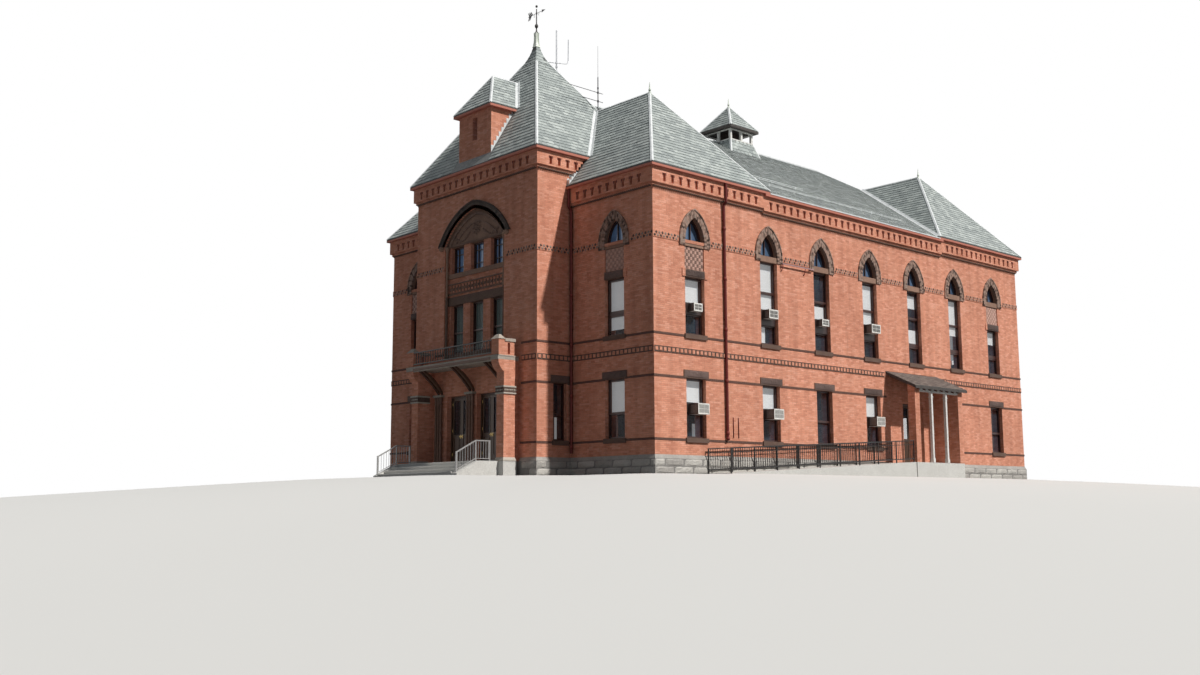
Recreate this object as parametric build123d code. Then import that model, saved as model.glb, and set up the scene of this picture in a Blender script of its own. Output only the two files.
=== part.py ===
"""Two-storey brick town hall: a hall with its ridge front to back, a hipped block across
each end, a spired tower pavilion in the middle of the front, and a porch with a balcony.

X runs along the front, Y runs back from the tower's front face, Z is up from the ground.
The origin is on the ground in the middle of the tower's front face. All in millimetres.
"""

import os
from math import atan, atan2, cos, degrees, hypot, sin, sqrt

from build123d import *

os.makedirs("parts", exist_ok=True)

# Plan
tower_width = 7640
tower_depth = 6060
wing_width = 4240
wing_setback = 1585
front_block_depth = 5700
hall_length = 12000
back_block_depth = 6500
lower_wall = 550
upper_wall = 450

# Levels above the ground
plinth_top = 520
ground_floor_top = 620
upper_floor_bottom = 3900
upper_floor_top = 4200
wall_top = 10430
tower_wall_top = 11670
hall_drop = 90

# Foundation and floors
plinth_proud = 60
foundation_inset = 700
floor_ledge_level = 370
water_table_height = 130

# Windows
window_width = 980
ground_sill = 1240
ground_head = 3290
upper_sill = 4810
upper_spring = 8120
transom_height = 210
blind_panel_height = 820
blind_recess = 60
lintel_height = 270
lintel_bearing = 130
sill_height = 160
stone_proud = 30
stone_depth = 140
hood_width = 270
frame_setback = 150
frame_depth = 90
frame_bar = 60
rail_height = 60
meeting_rail = 2080
upper_rail = 5560
glass_thickness = 10
window_pitch = 3174
first_hall_window = 345
side_window_width = 620

# Brick bands that run round the walls, as level and height
band_proud = 18
sill_band = (1130, 75)
head_band = (3255, 75)
dentil_band = (4080, 220)
upper_sill_band = (4700, 75)
spring_band = (8010, 230)

# Corbel table under the eaves
corbel_height = 630
corbel_foot_height = 90
corbel_foot_proud = 70
corbel_proud = 130
corbel_pitch = 400
slot_width = 100
slot_height = 300
slot_level = 160

# Roofs
overhang = 250
fascia = 120
roof_shell = 280
block_rise = 3950
block_hip_run = 3210
hall_rise = 5170
tower_rise = 5460
spire_start = 4850
spire_rise = 1400
spire_tip = 60

# Tower front
recess_width = 3780
recess_depth = 170
recess_base = 4560
recess_spring = 9000
recess_rise = 1200
recess_radius = 2700
arch_ring = 300
trio_pitch = 1270
trio_width = 820
trio_lower = (4740, 6650)
trio_upper = (7890, 8950)
trio_lintel_height = 330
recess_sill_height = 180

# Entrance: two doorways beside a middle pier, with a balcony on side piers
doorway_width = 1300
middle_pier_width = 600
doorway_head = 3100
column_radius = 70
column_pitch = 160
column_count = 3
column_base = 260
column_cap = 180
porch_width = 5820
porch_pier_width = 420
porch_pier_depth = 750
porch_pier_back = 250
porch_link_inset = 120
balcony_reach = 1020
balcony_bottom = 4090
balcony_slab = 160
impost_level = 2870
impost_height = 300
impost_proud = 30
corbel_start = 3670
parapet_height = 490
parapet_post = 270
parapet_post_rise = 80
parapet_slot = (480, 590)
parapet_cap = 110
bracket_width = 90
bracket_gap = 130
bracket_drop = 800
bracket_bar = 110
rail_bar = 40
rail_height_above = 565
picket_pitch = 160
picket_size = 18
landing_reach = 1650
step_count = 3
stair_width = 5320
tread = 300
cheek_width = 300
handrail_height = 700
handrail_size = 42

# Doors
door_frame_bar = 60
door_frame_depth = 120
door_setback = 190
leaf_thickness = 46
leaf_gap = 8
leaf_bottom_gap = 8
pivot_radius = 9
pivot_length = 45
pivot_clearance = 0.3
stile = 95
bottom_panel = 900
panel_recess = 12

# Side porch, on the right wall
side_porch_middle = 15200
side_porch_width = 3500
side_porch_reach = 1250
side_porch_wall = 330
side_porch_top = 4230
side_porch_eave = 3560
side_porch_roof_thickness = 110
side_porch_overhang = 160
side_doorway_width = 1500
side_post = 110
side_post_pitch = 1060
beam_depth = 180
ramp_width = 1150
ramp_run = 11000
ramp_rail_height = 850
ramp_rail_size = 38
ramp_picket_pitch = 300

# Dormer in the tower roof
dormer_width = 2060
dormer_wall = 240
dormer_top = 13980
dormer_depth = 1500
dormer_overhang = 170
dormer_rise = 1560
dormer_hip_run = 1000
slot_window_width = 300
slot_window = (12900, 13800)

# Ventilator on the hall ridge
ventilator_from_front = 14710
ventilator_base_width = 2300
ventilator_width = 1560
ventilator_eave_width = 1960
ventilator_base_level = 14600
ventilator_sill = 15660
ventilator_head = 16180
ventilator_rise = 1250
ventilator_post = 110
ventilator_fascia = 110

# Finials, spire cap and weather vane
finial_height = 420
finial_radius = 28
finial_ball = 70
cap_height = 620
vane_rod_radius = 22
vane_rod_height = 640
vane_axle_radius = 12
vane_axle_length = 460
vane_reach = 560
vane_thickness = 12
vane_sleeve = 20
vane_clearance = 0.3

# Aerials, rainwater pipes and air conditioners
aerial_spread = 330
tv_mast_x = 2170
tv_mast_height = 2600
pipe_radius = 50
small_unit = (430, 280, 290, 5620)
middle_unit = (520, 330, 340, 5760)
small_high_unit = (430, 260, 290, 5790)
large_unit = (600, 350, 400, 5800)
lower_unit = (560, 370, 480, 2040)
unit_board = 40

# Places worked out from the sizes above
half_tower = tower_width / 2
half_width = half_tower + wing_width
front_y = wing_setback
hall_y = front_y + front_block_depth
back_block_y = hall_y + hall_length
back_y = back_block_y + back_block_depth
front_ridge_y = (front_y + hall_y) / 2
back_ridge_y = (back_block_y + back_y) / 2
tower_middle_y = tower_depth / 2
wing_window_x = half_tower + wing_width * 0.545
blind_top = upper_spring - transom_height
blind_base = blind_top - blind_panel_height
sash_head = blind_base - lintel_height
hall_columns = [
    hall_y + first_hall_window + n * window_pitch for n in range(6)
]
block_column = front_y + front_block_depth * 0.357
back_columns = [-0.62, -0.22, 0.22, 0.62]
door_leaf_height = doorway_head - door_frame_bar - ground_floor_top - 2 * leaf_bottom_gap
door_middle = (middle_pier_width + doorway_width) / 2
side_y = side_porch_middle + front_y


def block(x0, x1, y0, y1, z0, z1):
    """A box between two corners."""
    size = (x1 - x0, y1 - y0, z1 - z0)
    return Pos(x0, y0, z0) * Box(*size, align=(Align.MIN, Align.MIN, Align.MIN))


def mirrored(part):
    """The part and its mirror image across the middle of the front."""
    return part + mirror(part, about=Plane.YZ)


def wall_prism(sketch, y0, y1):
    """A sketch in X and Z pushed through from y0 to y1."""
    return Pos(0, y1, 0) * extrude(Plane.XZ * sketch, amount=y1 - y0)


def side_prism(sketch, x0, x1):
    """A sketch in Y and Z pushed through from x0 to x1."""
    return Pos(x0, 0, 0) * extrude(Plane.YZ * sketch, amount=x1 - x0)


def outline(points):
    """A closed face through the points."""
    return make_face(Polyline(*points, close=True))


def pointed(centre, radius, base, spring):
    """A pointed arch on two upright jambs. The right side is an arc about the centre, mirrored for the left."""
    cx, cz = centre
    half = cx + sqrt(radius**2 - (spring - cz) ** 2)
    apex = cz + sqrt(radius**2 - cx**2)
    turn = (atan2(spring - cz, half - cx) + atan2(apex - cz, -cx)) / 2
    shoulder = (cx + radius * cos(turn), cz + radius * sin(turn))
    right = ThreePointArc((half, spring), shoulder, (0, apex))
    left = ThreePointArc((0, apex), (-shoulder[0], shoulder[1]), (-half, spring))
    if spring - base < 1:
        return make_face([Line((-half, spring), (half, spring)), right, left])
    jambs = Polyline((-half, spring), (-half, base), (half, base), (half, spring))
    return make_face([jambs, right, left])


def footprint(grow=0):
    """The outline of the walls on the ground, grown outwards or, when negative, inwards."""
    tower, wing = half_tower + grow, half_width + grow
    front, wings, back = -grow, front_y - grow, back_y + grow
    return outline(
        [
            (-tower, front),
            (tower, front),
            (tower, wings),
            (wing, wings),
            (wing, back),
            (-wing, back),
            (-wing, wings),
            (-tower, wings),
        ]
    )


def ring(inner, outer, z0, z1):
    """The strip between two footprints, from z0 to z1."""
    height = z1 - z0
    return Pos(0, 0, z0) * (extrude(footprint(outer), height) - extrude(footprint(inner), height))


# Windows are drawn in the plane of a front wall: X across, outer face at Y 0, Y into the wall
def place_right(y):
    return Pos(half_width, y, 0) * Rot(0, 0, 90)


def place_left(y):
    return Pos(-half_width, y, 0) * Rot(0, 0, -90)


def place_back(x):
    return Pos(x, back_y, 0) * Rot(0, 0, 180)


def place_wing(x):
    return Pos(x, front_y, 0)


wall_cut = lower_wall + 200
half_window = window_width / 2
hood_base = upper_spring - transom_height


def arched_light(grow=0.0, base=upper_spring):
    """The pointed light at the head of an upper window, drawn about the foot of the far jamb."""
    return pointed((-half_window, upper_spring), window_width + grow, base, upper_spring)


def tall_opening():
    """A tall arched window of the hall, from sill to point."""
    return wall_prism(arched_light(base=upper_sill), -50, wall_cut)


def blind_opening():
    """A sash, a shallow blind panel over it and an arched light on top."""
    sash = block(-half_window, half_window, -50, wall_cut, upper_sill, sash_head)
    panel = block(-half_window, half_window, -50, blind_recess, blind_base, blind_top)
    light = wall_prism(arched_light(), -50, wall_cut)
    return sash + panel + light


def ground_opening(width=window_width):
    return block(-width / 2, width / 2, -50, wall_cut, ground_sill, ground_head)


def hood():
    """The stone arch round an upper window's head."""
    outer = arched_light(hood_width, base=hood_base)
    inner = arched_light(base=hood_base)
    return wall_prism(outer - inner, -stone_proud, stone_depth)


def sill(z, width=window_width):
    reach = width / 2 + lintel_bearing / 2
    return block(-reach, reach, -stone_proud * 2, frame_setback, z - sill_height, z)


def lintel(z, width=window_width):
    reach = width / 2 + lintel_bearing
    return block(-reach, reach, -stone_proud, stone_depth, z, z + lintel_height)


def transom():
    base = upper_spring - transom_height
    return block(-half_window, half_window, 0, frame_setback + frame_depth, base, upper_spring)


def rectangle(width, z0, z1):
    return Pos(0, (z0 + z1) / 2) * Rectangle(width, z1 - z0)


def sash_frame(width, z0, z1, rails):
    """A window frame that fills an upright opening, with rails across it."""
    face = rectangle(width, z0, z1) - rectangle(width - 2 * frame_bar, z0 + frame_bar, z1 - frame_bar)
    for rail in rails:
        face += rectangle(width - 2 * frame_bar, rail, rail + rail_height)
    return wall_prism(face, frame_setback, frame_setback + frame_depth)


def arch_frame():
    """The frame of an arched light: the arch less a smaller one, and a rail along its foot."""
    foot = rectangle(window_width, upper_spring, upper_spring + frame_bar)
    face = arched_light() - (arched_light(-frame_bar) - foot)
    return wall_prism(face, frame_setback, frame_setback + frame_depth)


def pane_of(shape):
    """One sheet of glass on the inner side of the frame."""
    back = frame_setback + frame_depth
    return wall_prism(shape, back, back + glass_thickness)


tall_rail = (upper_rail + hood_base) / 2
tall_frames = sash_frame(window_width, upper_sill, hood_base, [upper_rail, tall_rail])
blind_frames = sash_frame(window_width, upper_sill, sash_head, [upper_rail])
ground_frame = sash_frame(window_width, ground_sill, ground_head, [meeting_rail])
side_frame = sash_frame(side_window_width, ground_sill, ground_head, [meeting_rail])
tall_pane = pane_of(rectangle(window_width, upper_sill, hood_base))
blind_pane = pane_of(rectangle(window_width, upper_sill, sash_head))
ground_pane = pane_of(rectangle(window_width, ground_sill, ground_head))
side_pane = pane_of(rectangle(side_window_width, ground_sill, ground_head))
arch_pane = pane_of(arched_light())

# Where each kind of window stands
porch_column = min(range(6), key=lambda n: abs(hall_columns[n] - side_y))
ground_columns_right = [y for n, y in enumerate(hall_columns) if n not in (porch_column, porch_column + 1)]
tall_places = [place_right(y) for y in hall_columns] + [place_left(y) for y in hall_columns]
blind_places = [place_right(block_column), place_left(block_column)]
blind_places += [place_wing(wing_window_x), place_wing(-wing_window_x)]
tall_places += [place_back(half_width * share) for share in back_columns]
ground_places = [place_right(y) for y in [block_column, *ground_columns_right]]
ground_places += [place_left(y) for y in [block_column, *hall_columns]]
ground_places += [place_wing(wing_window_x), place_wing(-wing_window_x)]
ground_places += [place_back(half_width * share) for share in back_columns]
side_window_y = (lower_wall + front_y) / 2
side_places = [
    Pos(half_tower, side_window_y, 0) * Rot(0, 0, 90),
    Pos(-half_tower, side_window_y, 0) * Rot(0, 0, -90),
]


def spread(part, places):
    """Copies of a part at several places."""
    return [place * part for place in places]


openings = spread(tall_opening(), tall_places) + spread(blind_opening(), blind_places)
openings += spread(ground_opening(), ground_places)
openings += spread(ground_opening(side_window_width), side_places)

arched_places = tall_places + blind_places
hoods = spread(hood() + transom(), arched_places)
sills = spread(sill(upper_sill), tall_places + blind_places)
sills += spread(sill(ground_sill), ground_places)
sills += spread(sill(ground_sill, side_window_width), side_places)
lintels = spread(lintel(sash_head), blind_places) + spread(lintel(ground_head), ground_places)
lintels += spread(lintel(ground_head, side_window_width), side_places)
stones = hoods + sills + lintels

# Walls
side_door_y = (side_y - side_doorway_width / 2, side_y + side_doorway_width / 2)
wing_inner = half_width - upper_wall
hall_wall_top = wall_top - hall_drop


def long_wall(thickness, z0, z1):
    return block(half_width - thickness, half_width, front_y, back_y, z0, z1)


def round_bar(radius, height, top=None):
    """An upright bar of twelve flat sides, or a taper where the top radius differs."""
    foot = RegularPolygon(radius, 12)
    if top is None:
        return extrude(foot, height)
    return loft([foot, Pos(0, 0, height) * RegularPolygon(top, 12)])


def cut(wall, cutters):
    """The wall less those cutters that reach its box."""
    box = wall.bounding_box()
    near = []
    for cutter in cutters:
        other = cutter.bounding_box()
        apart = (
            other.min.X > box.max.X
            or box.min.X > other.max.X
            or other.min.Y > box.max.Y
            or box.min.Y > other.max.Y
            or other.min.Z > box.max.Z
            or box.min.Z > other.max.Z
        )
        if not apart:
            near.append(cutter)
    return wall - near if near else wall


hall_step = block(
    half_width - upper_wall, half_width, hall_y, back_block_y, hall_wall_top, wall_top
)
lower_long = long_wall(lower_wall, plinth_top, upper_floor_bottom)
upper_long = long_wall(upper_wall, upper_floor_bottom, wall_top) - hall_step
side_doorway = block(
    half_width - lower_wall, half_width, *side_door_y, plinth_top, upper_floor_bottom
)
over_side_door = block(
    half_width - lower_wall, half_width, *side_door_y, doorway_head, upper_floor_bottom
)

right_wall_lower = cut(lower_long - side_doorway, openings + stones)
right_wall_upper = cut(upper_long + over_side_door, openings + stones)
left_wall = cut(mirror(lower_long + upper_long, about=Plane.YZ), openings + stones)


def cross_wall(half, y, z0, z1, thickness, outward):
    """A wall along X whose outer face is at y."""
    y0, y1 = (y, y + thickness) if outward < 0 else (y - thickness, y)
    return block(-half, half, y0, y1, z0, z1)


back_lower = cross_wall(half_width - lower_wall, back_y, plinth_top, upper_floor_bottom, lower_wall, 1)
back_upper = cross_wall(half_width - upper_wall, back_y, upper_floor_bottom, wall_top, upper_wall, 1)
back_wall = cut(back_lower + back_upper, openings + stones)

wing_lower = block(
    half_tower, half_width - lower_wall, front_y, front_y + lower_wall, plinth_top, upper_floor_bottom
)
wing_upper = block(
    half_tower, half_width - upper_wall, front_y, front_y + upper_wall, upper_floor_bottom, wall_top
)
wing_walls_lower = cut(mirrored(wing_lower), openings + stones)
wing_walls_upper = cut(mirrored(wing_upper), openings + stones)

# Tower walls: the front is split at the doorways' head, the sides run from front to wing
jamb_x = middle_pier_width / 2 + doorway_width
tower_lower = block(jamb_x, half_tower, 0, lower_wall, plinth_top, doorway_head)
entrance_pier = block(
    -middle_pier_width / 2, middle_pier_width / 2, 0, lower_wall, plinth_top, doorway_head
)
tower_front_lower = [cut(mirrored(tower_lower), openings + stones), entrance_pier]
recess_half = recess_width / 2
chord = hypot(recess_half, recess_rise)
drop = sqrt(recess_radius**2 - (chord / 2) ** 2) / chord
recess_centre = (recess_half / 2 - recess_rise * drop, recess_spring + recess_rise / 2 - recess_half * drop)
recess_shape = pointed(recess_centre, recess_radius, recess_base, recess_spring)
recess_outer = pointed(recess_centre, recess_radius + arch_ring, recess_spring, recess_spring)
recess = wall_prism(recess_shape, -50, recess_depth)
recess_arch = wall_prism(recess_outer - recess_shape, -stone_proud, stone_depth)
trio_middles = [n * trio_pitch for n in (-1, 0, 1)]


def trio(low, high, y0, y1):
    """Three openings side by side in the tower's front."""
    return [block(x - trio_width / 2, x + trio_width / 2, y0, y1, low, high) for x in trio_middles]


trio_openings = trio(*trio_lower, 0, wall_cut) + trio(*trio_upper, 0, wall_cut)
recess_reach = recess_width / 2
trio_lintel = block(
    -recess_reach,
    recess_reach,
    recess_depth - stone_proud,
    recess_depth + stone_depth,
    trio_lower[1],
    trio_lower[1] + trio_lintel_height,
)
tympanum = block(
    -recess_reach,
    recess_reach,
    recess_depth - stone_proud,
    recess_depth + stone_depth,
    trio_upper[1],
    recess_spring + recess_reach,
) & wall_prism(recess_shape, -50, wall_cut)
recess_sills = [
    block(
        -recess_reach,
        recess_reach,
        recess_depth - stone_proud * 2,
        recess_depth + stone_depth,
        level - recess_sill_height,
        level,
    )
    for level in (trio_lower[0], trio_upper[0])
]
tower_stones = [recess_arch + tympanum, trio_lintel, *recess_sills]
tower_upper = block(-half_tower, half_tower, 0, upper_wall, upper_floor_bottom, tower_wall_top)
tower_upper += block(-half_tower, half_tower, 0, lower_wall, doorway_head, upper_floor_bottom)
tower_front_upper = cut(tower_upper - [recess, *trio_openings, *tower_stones], openings + stones)

dormer_half = dormer_width / 2
dormer_box = block(
    -dormer_half, dormer_half, 0, dormer_depth, tower_wall_top, dormer_top
)


# Roofs: each is the volume under its slopes, less the same volume lowered inside the walls
def eave_profile(low, high, base, rise, run):
    """A roof seen from one side: fascia, slope, a flat top where the slopes don't meet, and back down."""
    eave = base + fascia
    top = [(low + run, eave + rise)]
    if high - run - (low + run) > 1:
        top.append((high - run, eave + rise))
    return outline([(low, base), (low, eave), *top, (high, eave), (high, base)])


def block_volume(y0, y1):
    """The hipped roof across one end, as a solid."""
    x = half_width + overhang
    low, high = y0 - overhang, y1 + overhang
    slopes = eave_profile(low, high, wall_top, block_rise, (high - low) / 2)
    ends = eave_profile(-x, x, wall_top, block_rise, block_hip_run)
    return side_prism(slopes, -x, x) & wall_prism(ends, low, high)


hall_low = front_ridge_y
hall_high = back_ridge_y
hall_half = half_width + overhang
front_slope = block_rise / (front_block_depth / 2 + overhang)
back_slope = block_rise / (back_block_depth / 2 + overhang)
block_ridge = wall_top + fascia + block_rise
hall_ridge = hall_wall_top + fascia + hall_rise
tower_slope_y = tower_rise / (tower_depth / 2 + overhang)


def hall_volume():
    """The hall's gable along Y. Its back end is clipped by the back block's rear slope carried on
    upwards, and the top of its front end runs on into the tower roof."""
    base = hall_wall_top
    gable = eave_profile(-hall_half, hall_half, base, hall_rise, hall_half)
    tower_meets = tower_depth + overhang - (hall_ridge - tower_wall_top - fascia) / tower_slope_y
    half_top = hall_half * (hall_ridge - block_ridge) / hall_rise
    top = block(-half_top, half_top, tower_meets - 100, back_y, base, hall_ridge)
    long_gable = wall_prism(gable, hall_low, back_y) + (wall_prism(gable, 0, back_y) & top)
    climb = hall_ridge - block_ridge + 500
    clip = outline(
        [
            (0, 0),
            (hall_high, 0),
            (hall_high, block_ridge),
            (hall_high - climb / back_slope, block_ridge + climb),
            (0, block_ridge + climb),
        ]
    )
    whole = long_gable & side_prism(clip, -hall_half, hall_half)
    for y0, y1 in ((0, hall_y), (back_block_y, back_y)):
        whole -= block(-hall_half, hall_half, y0, y1, 0, wall_top)
    return whole


def spire_profile(half, middle):
    """The tower roof in one direction: a straight slope, then a hollow curve to the tip."""
    base = tower_wall_top
    eave = base + fascia
    knee = (half * (1 - spire_start / tower_rise), eave + spire_start)
    tip = (spire_tip, knee[1] + spire_rise)
    sag = (spire_tip + (knee[0] - spire_tip) * 0.3, knee[1] + spire_rise * 0.36)
    right = [(half, base), (half, eave), knee]
    side = Polyline(*[(middle + x, z) for x, z in right])
    curve = ThreePointArc((middle + knee[0], knee[1]), (middle + sag[0], sag[1]), (middle + tip[0], tip[1]))
    top = Line((middle + tip[0], tip[1]), (middle - tip[0], tip[1]))
    back = ThreePointArc((middle - tip[0], tip[1]), (middle - sag[0], sag[1]), (middle - knee[0], knee[1]))
    other = Polyline(*[(middle - x, z) for x, z in reversed(right)])
    foot = Line((middle - half, base), (middle + half, base))
    return make_face([side, curve, top, back, other, foot])


tower_eave_x = half_tower + overhang
tower_eave_y = tower_depth / 2 + overhang
tower_volume = wall_prism(
    spire_profile(tower_eave_x, 0), -overhang, tower_depth + overhang
) & side_prism(spire_profile(tower_eave_y, tower_middle_y), -tower_eave_x, tower_eave_x)
front_volume = block_volume(front_y, hall_y)
back_volume = block_volume(back_block_y, back_y)
hall_roof_volume = hall_volume()

inner_x = half_width - upper_wall
front_inner = (Pos(0, 0, -roof_shell) * front_volume) & block(
    -inner_x, inner_x, front_y + upper_wall, hall_y + overhang, 0, 2 * wall_top
)
back_inner = (Pos(0, 0, -roof_shell) * back_volume) & block(
    -inner_x, inner_x, back_block_y - overhang, back_y - upper_wall, 0, 2 * wall_top
)
hall_inner = (Pos(0, 0, -roof_shell) * hall_roof_volume) & block(
    -inner_x, inner_x, hall_low, back_y - upper_wall, 0, 2 * wall_top
)
tower_inner = (Pos(0, 0, -roof_shell) * tower_volume) & block(
    upper_wall - half_tower, half_tower - upper_wall, upper_wall, tower_depth - upper_wall, 0, 2 * wall_top
)
tower_side_end = front_y - overhang + (tower_wall_top - wall_top - fascia) / front_slope
tower_column = block(-half_tower, half_tower, -overhang, tower_side_end, 0, 2 * wall_top)
attic = [front_inner, hall_inner, back_inner]

front_block_roof = front_volume - [*attic, tower_column]
hall_roof = hall_roof_volume - [*attic, front_volume, back_volume]
back_block_roof = back_volume - attic
spire_top = tower_wall_top + fascia + spire_start + spire_rise
cap_base = spire_top - cap_height
over_cap = block(-half_tower, half_tower, 0, tower_depth, cap_base, spire_top)
tower_roof = tower_volume - [tower_inner, front_volume, hall_roof_volume, dormer_box, over_cap]
spire_cap = tower_volume & over_cap

tower_side_lower = block(
    half_tower - lower_wall, half_tower, lower_wall, front_y + lower_wall, plinth_top, upper_floor_bottom
)
tower_side_upper = block(
    half_tower - upper_wall, half_tower, upper_wall, front_y + upper_wall, upper_floor_bottom, tower_wall_top
)
tower_side_upper += block(
    half_tower - upper_wall, half_tower, front_y + upper_wall, tower_side_end, wall_top, tower_wall_top
)
tower_sides_lower = cut(mirrored(tower_side_lower), openings + stones)
tower_sides_upper = mirrored(tower_side_upper)

# Dormer
dormer_inner = block(
    dormer_wall - dormer_half, dormer_half - dormer_wall, dormer_wall, dormer_depth, tower_wall_top, dormer_top
)
slot_opening = block(
    -slot_window_width / 2, slot_window_width / 2, -50, dormer_wall, slot_window[0], slot_window[1]
)
dormer_walls = dormer_box - [dormer_inner, slot_opening, tower_inner]
dormer_x = dormer_half + dormer_overhang
dormer_slopes = outline(
    [
        (-dormer_x, dormer_top),
        (dormer_x, dormer_top),
        (dormer_x, dormer_top + fascia),
        (0, dormer_top + fascia + dormer_rise),
        (-dormer_x, dormer_top + fascia),
    ]
)
dormer_end = outline(
    [
        (-dormer_overhang, dormer_top),
        (tower_middle_y, dormer_top),
        (tower_middle_y, dormer_top + fascia + dormer_rise),
        (dormer_hip_run - dormer_overhang, dormer_top + fascia + dormer_rise),
        (-dormer_overhang, dormer_top + fascia),
    ]
)
dormer_volume = wall_prism(dormer_slopes, -dormer_overhang, tower_middle_y) & side_prism(
    dormer_end, -dormer_x, dormer_x
)
dormer_roof = dormer_volume - tower_volume

# Foundation, floors and the bands round the walls
doorway_cuts = [
    block(x - doorway_width / 2, x + doorway_width / 2, -400, lower_wall, plinth_top, doorway_head)
    for x in (-door_middle, door_middle)
]
doorway_cuts.append(
    block(half_width - lower_wall, half_width + 400, *side_door_y, plinth_top, doorway_head)
)
foundation = ring(-foundation_inset, plinth_proud, 0, plinth_top)
foundation -= Pos(0, 0, floor_ledge_level) * extrude(footprint(-lower_wall), plinth_top)
ground_floor = Pos(0, 0, floor_ledge_level) * extrude(
    footprint(-lower_wall), ground_floor_top - floor_ledge_level
)
upper_floor = Pos(0, 0, upper_floor_bottom) * extrude(
    footprint(-upper_wall), upper_floor_top - upper_floor_bottom
)
water_table = Pos(0, 0, plinth_top) * (
    extrude(
        footprint(plinth_proud),
        water_table_height,
        taper=degrees(atan(plinth_proud / water_table_height)),
    )
    - extrude(footprint(), water_table_height)
)

porch_half = porch_width / 2
stair_half = stair_width / 2
landing = block(-stair_half, stair_half, -landing_reach, -plinth_proud, 0, plinth_top)
slab_top = balcony_bottom + balcony_slab
parapet_top = slab_top + parapet_height
pier_x = porch_half - porch_pier_width
landing += mirrored(
    block(
        pier_x - impost_proud,
        porch_half + impost_proud,
        -porch_pier_depth - impost_proud,
        impost_proud - porch_pier_back,
        0,
        plinth_top,
    )
)
link_x = porch_half - porch_link_inset
landing += mirrored(block(pier_x, link_x, -porch_pier_back, -plinth_proud, 0, plinth_top))
porch_block = block(-porch_half, porch_half, -landing_reach, 0, 0, slab_top)
parapet_zone = mirrored(
    block(
        pier_x - impost_proud,
        porch_half + impost_proud,
        -balcony_reach,
        0,
        impost_level,
        parapet_top + parapet_cap,
    )
)
side_porch_y = (side_y - side_porch_width / 2, side_y + side_porch_width / 2)
side_porch_block = block(
    half_width,
    half_width + side_porch_reach,
    side_porch_y[0] - side_porch_overhang,
    side_porch_y[1] + side_porch_overhang,
    0,
    side_porch_top + side_porch_roof_thickness,
)
porch_cuts = [porch_block, parapet_zone, side_porch_block, *doorway_cuts]
water_table -= porch_cuts


def band(level, height):
    """A projecting band round all the walls, broken by the openings and porches."""
    return cut(ring(0, band_proud, level, level + height), openings + stones + porch_cuts + [recess])


belt_courses = [
    band(*level) for level in (sill_band, head_band, dentil_band, upper_sill_band, spring_band)
]


# Corbel table: a foot moulding and a thick band with upright slots
def corbel_run(length, top, start=0.0, end=0.0):
    """One straight run in front of a wall from X 0 to length, longer by start and end."""
    base = top - corbel_height
    taper = corbel_foot_proud / corbel_proud
    foot = block(
        -start * taper,
        length + end * taper,
        -corbel_foot_proud,
        0,
        base,
        base + corbel_foot_height,
    )
    face = Pos((length + end - start) / 2, (base + corbel_foot_height + top) / 2) * Rectangle(
        length + start + end, corbel_height - corbel_foot_height
    )
    count = max(1, int((length - corbel_pitch) / corbel_pitch))
    slots = GridLocations(corbel_pitch, 1, count, 1)
    level = base + slot_level + slot_height / 2
    face -= [Pos(length / 2, level) * slot for slot in slots * Rectangle(slot_width, slot_height)]
    return foot + wall_prism(face, -corbel_proud, 0)


def on_front(x, y):
    return Pos(x, y, 0)


def on_right(y, x):
    return Pos(x, y, 0) * Rot(0, 0, 90)


def on_back(x):
    return Pos(x, back_y, 0) * Rot(0, 0, 180)


corner = corbel_proud
tower_run = on_front(-half_tower, 0) * corbel_run(tower_width, tower_wall_top, corner, corner)
tower_side_run = on_right(0, half_tower) * corbel_run(tower_side_end, tower_wall_top) - front_volume
wing_run = on_front(half_tower, front_y) * corbel_run(wing_width, wall_top, 0, corner)
right_runs = on_right(front_y, half_width) * corbel_run(front_block_depth, wall_top)
right_runs += on_right(hall_y, half_width) * corbel_run(hall_length, hall_wall_top)
right_runs += on_right(back_block_y, half_width) * corbel_run(back_block_depth, wall_top)
back_run = on_back(half_width) * corbel_run(2 * half_width, wall_top, corner, corner)
corbel_table = [
    tower_run + mirrored(tower_side_run),
    mirrored(wing_run + right_runs) + back_run,
]

# Thresholds and door frames
entrance_xs = (-door_middle, door_middle)


def threshold(x0, x1, y0, y1):
    return block(x0, x1, y0, y1, plinth_top, ground_floor_top)


def door_frame(width):
    """A frame in a doorway, with the pins that the leaves' heads turn on."""
    half = width / 2
    bar = doorway_head - door_frame_bar
    y0, y1 = door_setback, door_setback + door_frame_depth
    frame = block(-half, half, y0, y1, ground_floor_top, doorway_head)
    frame -= block(door_frame_bar - half, half - door_frame_bar, y0, y1, ground_floor_top, bar)
    for side in (-1, 1):
        x = side * pivot_x(width)
        frame += Pos(x, pivot_y, bar - leaf_bottom_gap - pivot_length) * Cylinder(
            pivot_radius, leaf_bottom_gap + pivot_length + 1, align=(Align.CENTER, Align.CENTER, Align.MIN)
        )
    return frame


def pivot_x(width):
    return width / 2 - door_frame_bar - leaf_gap - leaf_thickness / 2


pivot_y = door_setback + door_frame_depth / 2


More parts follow.
